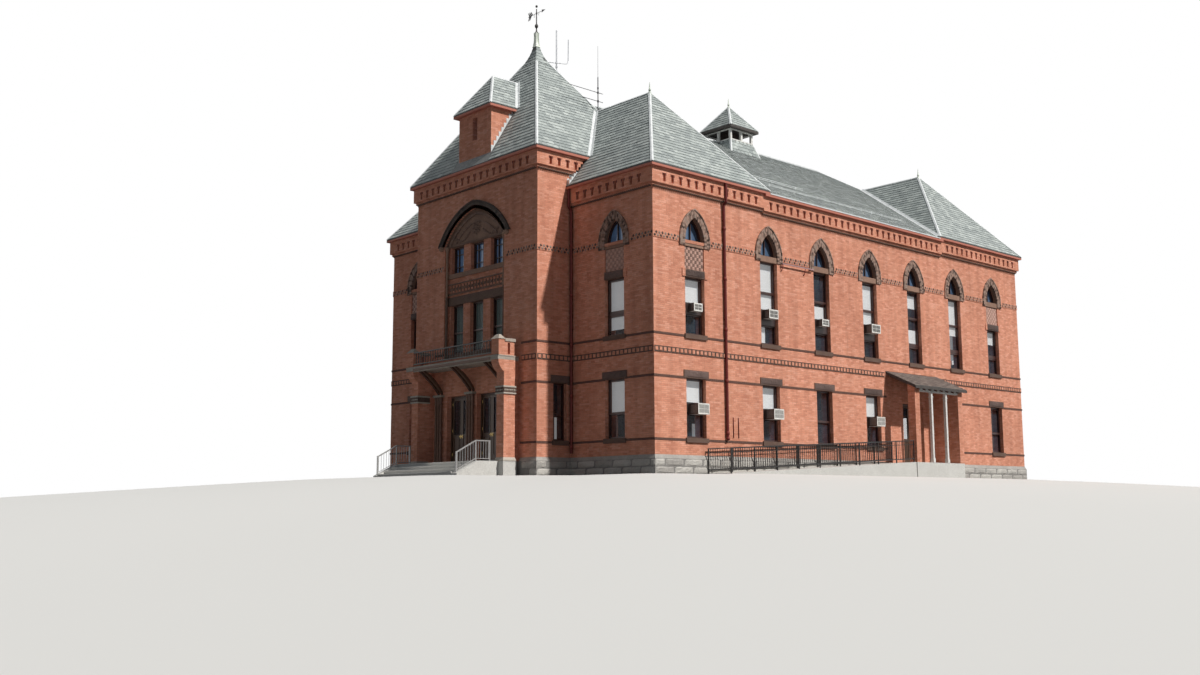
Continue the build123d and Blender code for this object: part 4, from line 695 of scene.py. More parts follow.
leaves = [bosses(np.column_stack([side * spray, spray_z]), 0.085, 0.035, side * leaf_tilt, 0.05,
                 relief_ground) for side in (-1, 1)]
eye = bosses((0, rosette_z), 0.09, 0.09, 0, 0.08, relief_ground)
inner_arch = joined(arch_blocks((2.5, 2.6), 9.02, 20, recess_centre, 0.08, 0.15, 0.0),
                    arch_blocks((2.24, 2.29), 9.06, 20, recess_centre, 0.1, 0.15, 0.0))
sill_line = boxes(xyz(-1.86, [0.1, 0.11], [8.96, 9.0]), xyz(1.86, 0.15, [8.99, 9.03]), 0.5)
relief_stone = granite_finish("worn_relief", (0.34, 0.22, 0.17), (0.15, 0.1, 0.085))
piece("tympanum_relief", joined(petals, *leaves, eye, inner_arch, sill_line), relief_stone)

# Frieze between the tower's two rows of windows: square flowers between two mouldings, with an upright
# bar between each pair, carved in the same brown stone. Curtains hang in folds behind the lower row.
flower_x = np.arange(-1.7, 1.71, 0.2)
flower_at = np.column_stack([flower_x, np.full(len(flower_x), 7.29)])
frieze = [boxes(xyz(-1.87, [0.12, 0.1, 0.13], [7.06, 7.46, 7.12]), xyz(1.87, 0.2, [7.1, 7.5, 7.135]), 0.5)]
frieze += [bosses(flower_at, half, 0.03, tilt, rise, 0.17)
           for half, tilt, rise in ((0.085, 0.785, 0.03), (0.085, -0.785, 0.03), (0.03, 0, 0.045))]
frieze.append(like_boxes(flower_x[:-1] + 0.092, 0.135, 7.15, (0.016, 0.055, 0.28), 0.5))
piece("tower_frieze", joined(*frieze), relief_stone)
curtain = clouded_finish("grey_green_curtains", 0.9, (1.0, 2), (0.3, (0.22, 0.27, 0.24)),
                         (0.7, (0.45, 0.5, 0.46)), scale=(22.0, 22.0, 0.6))
folds_across, fold_depth = 41, 0.018
across, up = np.meshgrid(np.linspace(-0.34, 0.34, folds_across), np.linspace(4.85, 6.6, 3))
hang = xyz(across, 0.43 + fold_depth * np.sin(across * 62), up).reshape(-1, 3)
drape = (hang, grid_faces(3, folds_across), np.full(2 * (folds_across - 1), 0.5))
drapes = piece("tower_curtains", on_walls(drape, [(x, 0, 0) for x in trio]), curtain)
drapes.modifiers.new("cloth", "SOLIDIFY").thickness = 0.003


# Doors: pairs of dark varnished oak leaves, each with a tall light over a fielded panel. Planted
# mouldings hold glass and panel, a brass knob stands on the meeting stile, and three butts on the other.
def picture_frame(x0, x1, z0, z1, width, face, back):
    """Four flat bars round an opening."""
    low = [(x0 - width, face, z0 - width), (x0 - width, face, z1), (x0 - width, face, z0), (x1, face, z0)]
    high = [(x1 + width, back, z0), (x1 + width, back, z1 + width), (x0, back, z1), (x1 + width, back, z1)]
    return boxes(low, high, 0.5)


oak = clouded_finish("dark_oak", 0.42, (1.0, 6, 0.65), (0.3, (0.035, 0.018, 0.011)),
                     (0.55, (0.085, 0.045, 0.026)), (0.75, (0.14, 0.078, 0.045)), scale=(30.0, 30.0, 1.6),
                     relief=(0.002, 0.6), Coat_Weight=0.1, Coat_Roughness=0.3)
brass = clouded_finish("worn_brass", 0.28, (60, 4), (0.3, (0.35, 0.24, 0.09)), (0.7, (0.72, 0.54, 0.24)),
                       Metallic=1.0)
door_leaves = [name for name in cad if "_door_" in name and not name.endswith("_glass")]
dress(oak, "door_frames", *door_leaves)
stile, panel, light, knob_z = 0.095, (0.818, 1.528), (1.623, 2.937), 1.56
knob_out, knob_radius = np.array([0.003, 0.03, 0.036, 0.05, 0.062]), [0.01, 0.01, 0.026, 0.028, 0.012]
for name in door_leaves:
    leaf_low, leaf_high = (np.array(corner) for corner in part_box(name))
    sideways, left_hung = name.startswith("side"), name.endswith("left")
    width = (leaf_high - leaf_low)[1 if sideways else 0]
    place = (leaf_high[0], leaf_low[1], 90) if sideways else (leaf_low[0], leaf_low[1], 0)
    free, hung = (width - 0.05, 0.004) if left_hung else (0.05, width - 0.004)
    far = width - stile
    trim = []
    for (low, high), inset, bar, face in ((panel, 0.012, 0.022, -0.012), (light, 0.016, 0.026, -0.014)):
        trim.append(picture_frame(stile + inset, far - inset, low + inset, high - inset, bar, face, 0.01))
    for inset, face, back in ((0.05, -0.004, 0.02), (0.07, -0.012, 0.01)):
        low, high = (stile + inset, face, panel[0] + inset), (far - inset, back, panel[1] - inset)
        trim.append(boxes(low, high, 0.5))
    metal = [boxes((free - 0.016, -0.004, knob_z - 0.07), (free + 0.016, 0.002, knob_z + 0.07), 0.5),
             round_bar(xyz(free, -knob_out, knob_z), knob_radius, 12, (0, -1, 0))]
    metal += [round_bar([(hung, -0.006, z), (hung, -0.006, z + 0.1)], 0.007, 8) for z in (0.85, 1.75, 2.75)]
    body = name + "_leaf"
    mouldings = piece(name + "_mouldings", on_walls(joined(*trim), place), oak, body)
    rounded(mouldings, "eased", 0.003)
    piece(name + "_fittings", on_walls(joined(*metal), place), brass, body)


# Front porch: brick piers that swell out under a stone balcony, on flared stone feet, with a carved
# band at the impost. Three slim shafts to a cluster carry the curved struts.
def flared(low, high, foot_out, head_out):
    """A stone that stands out past its corners, by one measure at its foot and by another at its head."""
    ends = np.array([[n & 1, n >> 1 & 1, n >> 2] for n in range(8)])
    corner = np.array(low) + np.subtract(high, low) * ends
    corner[:, :2] += (2 * ends[:, :2] - 1) * np.where(ends[:, 2:], head_out, foot_out)
    return solids(corner[None], 0.7)


def both_sides(shape):
    """A shape and its mirror image across the middle of the front, the copy's faces turned back outwards."""
    points, faces, shades = shape
    flipped = np.where(faces[:, 3:] < 0, faces[:, [2, 1, 0, 3]], faces[:, ::-1])
    return joined(shape, (points * (-1, 1, 1), flipped, shades))


porch_paint = shaded_finish("brown_porch_paint", [(0.0, (0.12, 0.065, 0.045)), (1.0, (0.2, 0.11, 0.08))],
                            0.5, 12.0, 0.002)
column_rise = np.array([0, 0.05, 0.06, 0.1, 0.13, 0.16, 0.2, 2.28, 2.3, 2.33, 2.35, 2.48, 2.55, 2.58])
column_swell = np.array([1.12, 1.12, 0.96, 1.1, 1.1, 0.86, 0.8, 0.76, 0.9, 0.9, 0.76, 0.84, 1.1, 1.12])
column = np.column_stack([landing_z + column_rise, 0.07 * column_swell])
shafts = [turned(x + beside, -0.0945, column) for x in (-2.045, 0, 2.045) for beside in (-0.16, 0, 0.16)]
columns = piece("porch_shafts", joined(*shafts), porch_paint, smooth=True)
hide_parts("porch_columns")
dress(porch_paint, "porch_brackets")
pale_stone = granite_finish("pale_carved_stone", (0.62, 0.57, 0.5), (0.42, 0.37, 0.32))
dress(pale_stone, "porch_stone")
feet = [flared((2.49, -0.75, low), (2.91, -0.25, high), 0.045, head_out)
        for low, high, head_out in ((landing_z, 0.56, 0.045), (0.56, 0.65, 0.004))]
impost_rows = boxes(xyz(2.448, -0.792, [2.88, 3.11]), xyz(2.952, -0.208, [2.925, 3.16]), 0.8)
carving = [on_walls(diamonds(centres, 3.017, 0.04, -0.001, 0.02), place)
           for centres, place in ((np.arange(-0.215, 0.3, 0.085), (2.94, -0.5, 90)),
                                  (np.arange(0.045, 0.45, 0.085), (2.46, -0.78, 0)))]
piece("pier_stones", both_sides(joined(*feet, impost_rows, *carving)), pale_stone)
dark_band = boxes((2.4585, -0.7815, 2.925), (2.9415, -0.2185, 3.11), 0.1)
piece("impost_grounds", both_sides(dark_band), mottled)
slab_edge = [boxes(xyz(-2.925, [-1.035, -1.028], [4.215, 4.19]), xyz(2.925, -0.99, [4.25, 4.215]), 0.5),
             both_sides(boxes((2.9, -1.035, 4.215), (2.925, -0.25, 4.25), 0.5)),
             boxes((-2.48, -0.98, 4.055), (2.48, -0.92, 4.09), 0.5)]
piece("balcony_mouldings", joined(*slab_edge), pale_stone)
edge_boards = boxes(xyz(-2.46, [-1.027, -1.033], [4.092, 4.1]), xyz(2.46, -1.018, [4.2, 4.12]), 0.2)
piece("balcony_fascia", edge_boards, porch_paint)
iron = new_material("painted_iron", 0.45, Metallic=0.4)
iron_at = place_coords(iron)
on_axes = axes(iron, iron_at)
before_porch, low_down = calc(iron, "LESS_THAN", on_axes[1], -1.0), calc(iron, "LESS_THAN", on_axes[2], 2.0)
worn = noise(iron, iron_at, 30, 5)
black = ramp(iron, worn, (0.35, (0.02, 0.022, 0.024)), (0.75, (0.07, 0.06, 0.055)))
galvanised = ramp(iron, worn, (0.35, 0.3), (0.75, (0.55, 0.54, 0.53)))
finish(iron, Base_Color=blend(iron, calc(iron, "MULTIPLY", before_porch, low_down), black, galvanised))
dress(iron, "iron_rails")
ring_turn = np.linspace(0, 2 * np.pi, 9)
ring_x, ring_z = 0.05 * np.cos(ring_turn), 4.62 + 0.05 * np.sin(ring_turn)
rings = [round_bar(xyz(x + ring_x, -0.96, ring_z), 0.006, 5) for x in np.arange(-2.32, 2.4, 0.16)]
piece("balcony_rings", joined(*rings), iron)

# Handrails: welded pipe rails on the cheek walls, with a lower rail and thin upright bars between.
# The ramp's two rails have the same bars and a lower rail of thinner pipe.
picket_y, ramp_y = np.arange(-2.42, -1.06, 0.11), np.arange(4.16, 14.98, 0.12)
cheek_top = landing_z + np.minimum(picket_y + 1.65, 0) * 0.4911
ramp_z = 0.03 + (ramp_y - 4.035) * 0.05364
pickets, bars = [], []
for x in (-2.51, 2.51):
    pickets.append(like_boxes(x - 0.006, picket_y - 0.006, cheek_top + 0.08, (0.012, 0.012, 0.6), 0.5))
    pickets.append(round_bar([(x, -2.49, 0.187), (x, -1.65, 0.6), (x, -1.03, 0.6)], 0.014, 8))
piece("handrail_bars", joined(*pickets), iron)
for x in (8.18, 9.21):
    bars.append(like_boxes(x - 0.006, ramp_y - 0.006, ramp_z + 0.136, (0.012, 0.012, 0.694), 0.5))
    bars.append(round_bar([(x, 4.06, 0.7313), (x, 15.02, 1.3193)], 0.012, 8))
piece("ramp_rail_bars", joined(*bars), iron)

# Side porch: square posts painted white under a plain beam, with a foot block and a necking on each.
# Brown rafters carry its roof's eave boards.
white_paint = clouded_finish("white_paint", 0.5, (14, 5), (0.25, (0.5, 0.49, 0.46)), (0.5, (0.8, 0.79, 0.76)))
dress(white_paint, "side_porch_posts", "ventilator_posts")
post_rings = ((0.62, 0.78, 0.018), (0.78, 0.8, 0.01), (3.18, 3.2, 0.012), (3.26, 3.3, 0.02))
post_trim = [boxes((9.2 - out, y - 0.055 - out, low), (9.31 + out, y + 0.055 + out, high), 0.5)
             for y in (16.255, 17.315) for low, high, out in post_rings]
piece("side_post_trim", joined(*post_trim), white_paint)
points, faces, shades = like_boxes(8.1, np.arange(15.2, 18.4, 0.42) - 0.03, -0.09, (1.32, 0.06, 0.089), 0.5)
points[:, 2] += 4.23 - (points[:, 0] - wing_half) * 0.4752
piece("side_porch_rafters", (points, faces, shades), porch_paint)


# Roofs: grey-green slates in straight courses on all slopes, about 270 mm wide with 190 mm showing.
# They are nailed through to the boards, each row over the one below, so every slate is a thin wedge.
def roof_height(x, y):
    """The highest roof over a point of the plan. A roof is the lowest of its own slopes."""
    ax, ay, vent_out = np.abs(x), np.abs(y - tower_y), np.maximum(np.abs(x), np.abs(y - vent_y))
    end = block_eave + (eave_x - ax) * end_slope
    from_front, from_back = np.abs(y - front_y), np.abs(y - back_y)
    front = np.minimum(end, block_eave + (front_half - from_front) * front_slope)
    back = np.minimum(end, block_eave + (back_half - from_back) * back_slope)
    hall = np.minimum(hall_eave + (eave_x - ax) * hall_slope, ridge_z + (back_y - y) * back_slope)
    tower = tower_eave + np.minimum((tower_x - ax) * tower_end_slope, (tower_reach - ay) * tower_slope)
    dormer = dormer_eave + np.minimum((dormer_half - ax) * dormer_slope, (y - dormer_y) * dormer_end_slope)
    vent = skirt_eave + (skirt_half - vent_out) * skirt_slope
    bounds = [(from_front < front_half + 0.001, front), (from_back < back_half + 0.001, back),
              ((y > front_y - 0.001) | ((ax < hall_end_x) & (y > hall_y)), hall),
              ((ax < tower_x + 0.001) & (ay < tower_reach + 0.001), tower),
              ((ax < dormer_half) & (y < 2.5), dormer), (vent > skirt_eave, np.minimum(vent, skirt_top))]
    return np.maximum.reduce([np.where(inside, height, -1.0) for inside, height in bounds])


def cap_height(x, y):
    """The four slopes of the ventilator's cap."""
    return cap_eave + (cap_half - np.maximum(np.abs(x), np.abs(y - vent_y))) * cap_slope


def porch_height(x, y):
    """The one slope of the side porch's roof."""
    return porch_eave + (porch_x - x) * porch_slope


def slope_normal(heading, slope):
    """The outward normal of a slope that rises along its heading."""
    return np.array([-heading[0] * slope, -heading[1] * slope, 1.0])


def slates(eave, level, heading, slope, length, run, reach=roof_height):
    """Slates of one slope. Across runs along the eave and up runs along the heading in plan. A corner
    that leaves the slope is drawn in level with itself, or else towards the slate's middle, by halving."""
    tall, wide, gap, step = 0.19, 0.27, 0.004, np.hypot(1, slope)
    rows, columns = int((run * step - 0.02) / tall) + 1, int(length / wide) + 2
    row, column = (n.ravel() for n in np.meshgrid(np.arange(rows), np.arange(columns), indexing="ij"))
    left, foot = (column - 0.5 * (row % 2)) * wide, 0.02 + row * tall
    head = foot + tall + 0.02
    middle = np.stack([left + wide / 2, foot + tall / 2], -1)
    near, far = left + gap, left + wide - gap
    corner = np.stack([near, foot, far, foot, far, head, near, head], -1).reshape(-1, 4, 2)

    def plan(uv):
        u, v = uv[..., 0], uv[..., 1] / step
        x, y = eave[0] + heading[1] * u + heading[0] * v, eave[1] - heading[0] * u + heading[1] * v
        return x, y, level + slope * v

    def lies_on(uv):
        x, y, z = plan(uv)
        inside = (uv[..., 0] > 0.015) & (uv[..., 0] < length - 0.015) & (uv[..., 1] <= run * step + 0.01)
        return inside & (np.abs(z - reach(x, y)) < 0.006)

    inside = lies_on(corner)
    keep = lies_on(middle) | inside.any(1)
    middle, corner, inside = middle[keep], corner[keep], inside[keep]
    gathered = (corner * inside[..., None]).sum(1) / np.maximum(inside.sum(1), 1)[:, None]
    middle = np.where(lies_on(middle)[:, None], middle, gathered)
    level_with = np.stack([np.broadcast_to(middle[:, :1], corner.shape[:2]), corner[..., 1]], -1)
    towards = np.where(lies_on(level_with)[..., None], level_with, middle[:, None])
    low_share, high_share = np.where(inside, 1.0, 0.0), np.ones(inside.shape)
    for _ in range(9):
        share = (low_share + high_share) / 2
        good = lies_on(towards + (corner - towards) * share[..., None])
        low_share = np.where(good, np.maximum(low_share, share), low_share)
        high_share = np.where(good, high_share, np.minimum(high_share, share))
    flat = xyz(*plan(towards + (corner - towards) * low_share[..., None]))
    normal = slope_normal(heading, slope) / step
    thick = 0.018 * chance.uniform(0.8, 1.15, len(flat))[:, None, None]
    points = np.concatenate([flat[:, :2] - normal * 0.002, flat[:, :2] + normal * thick,
                             flat[:, 2:] + normal * 0.001, flat[:, 2:] - normal * 0.004], 1)
    sides = [(0, 1, 3, 2), (2, 3, 4, 5), (1, 6, 4, 3), (0, 2, 5, 7), (0, 7, 6, 1), (5, 4, 6, 7)]
    # Each slate's butt face gets the lowest tone and is painted near black as shade
    shades = np.repeat(0.2 + 0.8 * chance.random((len(points), 1)), 6, 1) * [0, 1, 1, 1, 1, 1]
    return points.reshape(-1, 3), repeated(sides, 8, len(points)), shades.ravel()


def hipped(middle, half, level, slopes, runs):
    """Slates on the four slopes of a roof over the plan round its middle: front, back, right and left."""
    middle, half = np.array(middle), np.array(half)
    return joined(*[slates(middle + half * corner, level, heading, slopes[n // 2], 2 * half[n // 2], runs[n])
                    for n, (corner, heading) in enumerate(four_ways)])


# Heights of the eaves and slopes of every roof. The front and back blocks share the slope of their ends.
block_eave, hall_eave, tower_eave, dormer_eave, ridge_z = 10.55, 10.46, 11.79, 14.1, 14.5
front_slope, back_slope, end_slope, hall_slope = 1.27419, 1.12857, 1.23053, 0.62214
tower_slope, tower_end_slope, dormer_slope, dormer_end_slope = 1.66463, 1.34152, 1.3, 1.56
cap_eave, skirt_eave, porch_eave = 16.29, 14.6, 3.67
cap_slope, skirt_slope, porch_slope = 1.27551, 2.865, 0.47518
# Where each roof's middle or front edge is and how far its eaves stand from the middle. The hall's ridge
# line comes out at hall_end_x on the back block, and the lantern's skirt ends at skirt_top.
eave_x, porch_x, front_y, front_half, back_y, back_half = 8.31, 9.47, 4.435, 3.1, 22.535, 3.5
tower_y, tower_x, tower_reach, dormer_y, dormer_half = 3.03, 4.07, 3.28, -0.17, 1.2
vent_y, cap_half, skirt_half, skirt_top, hall_y, hall_end_x = 14.71, 0.98, 1.15, 15.66, 3.9, 1.816
right, back_way = np.array([1.0, 0.0]), np.array([0.0, 1.0])
# The corner of the eaves that each slope of a roof starts from, and its heading
four_ways = (((-1, -1), back_way), ((1, 1), -back_way), ((1, -1), -right), ((-1, 1), right))
# Each butt is painted near black as shade, which rules a thin line along every course
slate = shaded_finish("grey_green_slate", [
    (0.12, (0.05, 0.055, 0.055)), (0.2, (0.29, 0.325, 0.325)), (0.45, (0.36, 0.4, 0.395)),
    (0.7, (0.43, 0.475, 0.465)), (0.92, (0.53, 0.575, 0.56))], 0.62, 14.0, 0.003)
hall_length, dormer_length, end_run = 22.14, 3.2, 3.21
front_slates = hipped((0, front_y), (eave_x, front_half), block_eave, (front_slope, end_slope),
                      (front_half, front_half, end_run, end_run))
back_slates = hipped((0, back_y), (eave_x, back_half), block_eave, (back_slope, end_slope),
                     (back_half, 4.51, end_run, end_run))
hall_slates = joined(
    slates((eave_x, hall_y), hall_eave, -right, hall_slope, hall_length, eave_x),
    slates((-eave_x, hall_y + hall_length), hall_eave, right, hall_slope, hall_length, eave_x))
tower_slates = hipped((0, tower_y), (tower_x, tower_reach), tower_eave, (tower_slope, tower_end_slope),
                      (2.9136, 2.9136, 3.6153, 3.6153))
dormer_slates = joined(
    slates((dormer_half, dormer_y), dormer_eave, -right, dormer_slope, dormer_length, dormer_half),
    slates((-dormer_half, dormer_y + dormer_length), dormer_eave, right, dormer_slope,
           dormer_length, dormer_half),
    slates((-dormer_half, dormer_y), dormer_eave, back_way, dormer_end_slope, 2 * dormer_half, 1.0))
vent_slates = []
for corner, heading in four_ways:
    for half, level, slope, run, reach in ((cap_half, cap_eave, cap_slope, cap_half, cap_height),
                                           (skirt_half, skirt_eave, skirt_slope, 0.37, roof_height)):
        start = half * corner[0], vent_y + half * corner[1]
        vent_slates.append(slates(start, level, heading, slope, 2 * half, run, reach))
porch_slates = slates((porch_x, 14.875), porch_eave, -right, porch_slope, 3.82, 1.41, porch_height)
piece("front_block_slates", front_slates, slate)
piece("back_block_slates", back_slates, slate)
piece("hall_slates", hall_slates, slate)
piece("tower_slates", joined(tower_slates, dormer_slates), slate)
piece("ventilator_slates", joined(*vent_slates), slate)
# Its butts too are painted near black as shade
old_slate = shaded_finish("brown_porch_slate", [
    (0.12, (0.03, 0.025, 0.023)), (0.2, (0.13, 0.105, 0.095)), (0.95, (0.28, 0.235, 0.21))], 0.7, 14.0, 0.003)
piece("side_porch_slates", porch_slates, old_slate)
underlay = new_material("roof_boards_and_eaves", 0.7)
board_at = place_coords(underlay)
board_noise = noise(underlay, board_at, 9, 4)
grey = ramp(underlay, board_noise, (0.3, (0.14, 0.15, 0.15)), (0.7, (0.24, 0.25, 0.25)))
eave_paint = ramp(underlay, board_noise, (0.3, (0.035, 0.03, 0.028)), (0.7, (0.07, 0.058, 0.052)))
# The lower part of each eave board is painted the bricks' red, the edge over it nearly black
for middle, half in ((10.42, 0.086), (11.71, 0.045), (14.02, 0.045)):
    board = calc(underlay, "COMPARE", axes(underlay, board_at)[2], middle, half)
    eave_paint = blend(underlay, board, eave_paint, (0.5, 0.175, 0.125, 1))
slopes_up = calc(underlay, "GREATER_THAN", facing(underlay)[2], 0.2)
finish(underlay, Base_Color=blend(underlay, slopes_up, eave_paint, grey))
dress(underlay, "front_block_roof", "hall_roof", "back_block_roof", "tower_roof", "dormer_roof",
      "ventilator_roof", "ventilator_base", "side_porch_roof")


# Hips, ridges and valleys: folded strips of pale painted metal nailed over the slates' cut edges.
# Each is a shallow V that lies on both slopes.
def folded_strip(start, end, first, second, convex):
    """A V-shaped strip from start to end: it runs out along each slope, away from the fold, and its
    closed profile has six corners."""
    start, end = np.asarray(start, float), np.asarray(end, float)
    way = (end - start) / np.linalg.norm(end - start)
    first, second = (n / np.linalg.norm(n) for n in (first, second))
    arms = []
    for own, other in ((first, second), (second, first)):
        arm = np.cross(own, way)
        arms.append(arm * (-1 if (arm @ other > 0) == convex else 1))
    lift, width = 0.024, 0.055 if convex else 0.12
    crown = (first + second) / np.linalg.norm(first + second) * lift * 1.25
    profile = np.array([arms[0] * width + first * lift, crown, arms[1] * width + second * lift,
                        arms[1] * width, crown * 0.1, arms[0] * width])
    points = np.concatenate([start + profile, end + profile])
    sides = [(n, (n + 1) % 6, (n + 1) % 6 + 6, n + 6) for n in range(6)]
    faces = np.array(sides + [(0, 5, 4, 1), (1, 4, 3, 2), (6, 7, 10, 11), (7, 8, 9, 10)])
    a, b, c, d = (points[faces[:, n]] - points.mean(0) for n in range(4))
    volume = (np.cross(c - a, d - b) * (a + b + c + d)).sum()
    return points, faces if volume > 0 else faces[:, ::-1], np.full(10, 0.5)


def three_normals(slope, end_slope):
    """The outward normals of a roof's front, rear and right slopes."""
    ways = ((back_way, slope), (-back_way, slope), (-right, end_slope))
    return [slope_normal(heading, each) for heading, each in ways]


front_n, rear_n, end_n = three_normals(front_slope, end_slope)
back_front_n, back_rear_n, hall_n = three_normals(back_slope, hall_slope)
tower_n, tower_rear_n, tower_end_n = three_normals(tower_slope, tower_end_slope)
vent_n, vent_rear_n, vent_end_n = three_normals(cap_slope, cap_slope)
base_n, base_rear_n, base_end_n = three_normals(skirt_slope, skirt_slope)
dormer_end_n, dormer_n = three_normals(dormer_end_slope, dormer_slope)[::2]
# Points where three slopes meet, on the right half
front_end, back_end, hall_end = (5.1, front_y, ridge_z), (5.1, back_y, ridge_z), (hall_end_x, back_y, ridge_z)
tower_side, tower_back, cap_point = (2.05, front_y, ridge_z), (2.2515, 4.845, 14.229), (0.0, vent_y, 17.54)
hall_ridge_z, spire_z, vent_base_z = 15.63, 16.64, 14.86
# Each fold's start, its end, the two slopes that meet there, and if it is a hip or ridge or else a valley
half_folds = [
    ((eave_x, front_y - front_half, block_eave), front_end, front_n, end_n, True),
    ((eave_x, front_y + front_half, block_eave), front_end, end_n, rear_n, True),
    (tower_side, front_end, front_n, rear_n, True),
    ((8.165, front_y + front_half, block_eave), (2.25, 4.648, 14.229), rear_n, hall_n, False),
    ((eave_x, back_y - back_half, block_eave), back_end, back_front_n, end_n, True),
    ((eave_x, back_y + back_half, block_eave), back_end, end_n, back_rear_n, True),
    (hall_end, back_end, back_front_n, back_rear_n, True),
    ((8.165, back_y - back_half, block_eave), hall_end, back_front_n, hall_n, False),
    (hall_end, (0.0, 21.53, hall_ridge_z), hall_n, back_rear_n, True),
    ((tower_x, tower_y - tower_reach, tower_eave), (0.4547, 2.6636, spire_z), tower_n, tower_end_n, True),
    (tower_back, (0.4547, 3.3964, spire_z), tower_end_n, tower_rear_n, True),
    ((tower_x, 2.308, tower_eave), tower_side, tower_end_n, front_n, False),
    (tower_back, (0.0, 4.003, hall_ridge_z), tower_rear_n, hall_n, False),
    ((dormer_half, dormer_y, dormer_eave), (0.0, 0.83, 15.66), dormer_end_n, dormer_n, True),
    ((dormer_half, 1.138, dormer_eave), (0.0, 2.075, 15.66), dormer_n, tower_n, False),
    ((cap_half, vent_y - cap_half, cap_eave), cap_point, vent_n, vent_end_n, True),
    ((cap_half, vent_y + cap_half, cap_eave), cap_point, vent_end_n, vent_rear_n, True),
    ((1.06, vent_y - 1.06, vent_base_z), (0.78, vent_y - 0.78, skirt_top), base_n, base_end_n, True),
    ((1.06, vent_y + 1.06, vent_base_z), (0.78, vent_y + 0.78, skirt_top), base_end_n, base_rear_n, True)]
folds = [both_sides(folded_strip(*fold)) for fold in half_folds]
ridges = ((4.0, 13.9, hall_ridge_z, hall_n), (15.52, 21.53, hall_ridge_z, hall_n),
          (0.83, 2.075, 15.66, dormer_n))
folds += [folded_strip((0, start, z), (0, end, z), normal * (-1, 1, 1), normal, True)
          for start, end, z, normal in ridges]
flashing = clouded_finish("pale_flashing", 0.45, (5, 5), (0.3, (0.6, 0.63, 0.64)), (0.7, (0.82, 0.84, 0.85)),
                          Metallic=0.2)
roll_z = hall_ridge_z + 0.035
ridge_rolls = [round_bar([(0, start, roll_z), (0, end, roll_z)], 0.045)
               for start, end in ((4.05, 13.85), (15.57, 21.5))]
piece("roof_flashings", joined(*folds, *ridge_rolls), flashing)

# Stepped flashing where the front roof climbs the tower's sides and the tower roof meets the dormer:
# one folded metal piece to each course, dressed down over the slates.
step_y, cheek_y = np.arange(1.45, 2.3, 0.11), np.arange(0.05, 1.25, 0.12)
step_z = block_eave + (step_y - front_y + front_half) * front_slope
cheek_z = tower_eave + (cheek_y - tower_y + tower_reach) * tower_slope
steps = joined(like_boxes(3.81, step_y - 0.06, step_z - 0.12, (0.022, 0.125, 0.28), 0.5),
               like_boxes(3.83, step_y - 0.06, step_z - 0.085, (0.13, 0.125, 0.17), 0.5),
               like_boxes(1.025, cheek_y - 0.05, cheek_z - 0.1, (0.02, 0.12, 0.3), 0.5))
piece("step_flashings", both_sides(steps), flashing)

# Spire: the four slopes turn up in a hollow curve. Slates go on to its neck, one course to a bend, and
# above them a lead cap, seamed at its corners, carries the rod, the ball and the vane's axle.
def hollow(knee, z):
    """Half the spire's width at a height: a circle through the knee, the neck's foot and the point."""
    a, b, c = np.array([(knee, spire_z), (0.06 + (knee - 0.06) * 0.3, 17.144), (0.06, 18.04)])
    system = 2 * np.array([b - a, c - a])
    centre = np.linalg.solve(system, [b @ b - a @ a, c @ c - a @ a])
    radius = np.hypot(*(a - centre))
    return centre[0] - np.sqrt(np.maximum(radius**2 - (z - centre[1]) ** 2, 0))


def curved_course(low, high, count, across, out):
    """One course on the front side of the spire: slates side by side, their butts proud."""
    share, bit = np.linspace(-1, 1, count + 1), np.arange(8)
    z = np.where(bit >> 2, high + 0.015, low)
    edge = np.where(bit & 1, share[1:, None], share[:-1, None]) * hollow(across, z)
    proud = np.where(bit >> 1 & 1, 0, np.where(bit >> 2, 0.004, 0.02))
    return solids(xyz(edge, -hollow(out, z) - proud, z))


knee_x, knee_y = 0.4547, 0.3664
levels = np.linspace(spire_z, 17.42, 6)
curved = []
for low, high, count in zip(levels[:-1], levels[1:], (4, 3, 2, 2, 1)):
    for across, out, angle in ((knee_x, knee_y, 0), (knee_y, knee_x, 90)):
        course_places = [(0, tower_y, angle), (0, tower_y, angle + 180)]
        curved.append(on_walls(curved_course(low, high, count, across, out), course_places))
piece("spire_slates", joined(*curved), slate)
lead = clouded_finish("weathered_lead", 0.55, (1.0, 5), (0.3, (0.24, 0.28, 0.24)), (0.5, (0.42, 0.46, 0.4)),
                      (0.7, (0.62, 0.64, 0.6)), scale=(9.0, 9.0, 1.4), Metallic=0.5)
cap_z = np.array([17.41, 17.41, 17.45, *np.linspace(17.5, 18.04, 10), 18.06])
cap_out = np.array([-0.01, 0.026, 0.026] + [0.012] * 10 + [0.0])
cap_x, cap_y = (np.where(cap_z > 18.05, 0.01, hollow(knee, cap_z) + cap_out) for knee in (knee_x, knee_y))
corners = [xyz(sx * cap_x, tower_y + sy * cap_y, cap_z) for sx, sy in ((-1, -1), (1, -1), (1, 1), (-1, 1))]
cap_faces = np.concatenate([grid_faces(len(cap_z), 4, closed=True), [np.arange(4) + 4 * (len(cap_z) - 1)]])
spire_cap = (np.stack(corners, 1).reshape(-1, 3), cap_faces, np.full(len(cap_faces), 0.5))
seams = [round_bar(edge[3:-1], 0.012, 6) for edge in corners]
piece("spire_cap", joined(spire_cap, *seams), lead)
rod = turned(0, tower_y, [(18.02, 0.075), (18.06, 0.07), (18.1, 0.035), (18.2, 0.025), (18.25, 0.03),
                          (18.26, 0.05), (18.29, 0.066), (18.33, 0.073), (18.37, 0.066), (18.4, 0.05),
                          (18.41, 0.03), (18.46, 0.0235), (18.675, 0.0235), (18.68, 0.016)])
crown = turned(0, tower_y, [(19.12, 0.014), (19.14, 0.036), (19.16, 0.047), (19.18, 0.05), (19.2, 0.045),
                            (19.22, 0.03), (19.23, 0.008)])
piece("spire_rod", joined(rod, crown), iron, smooth=True)


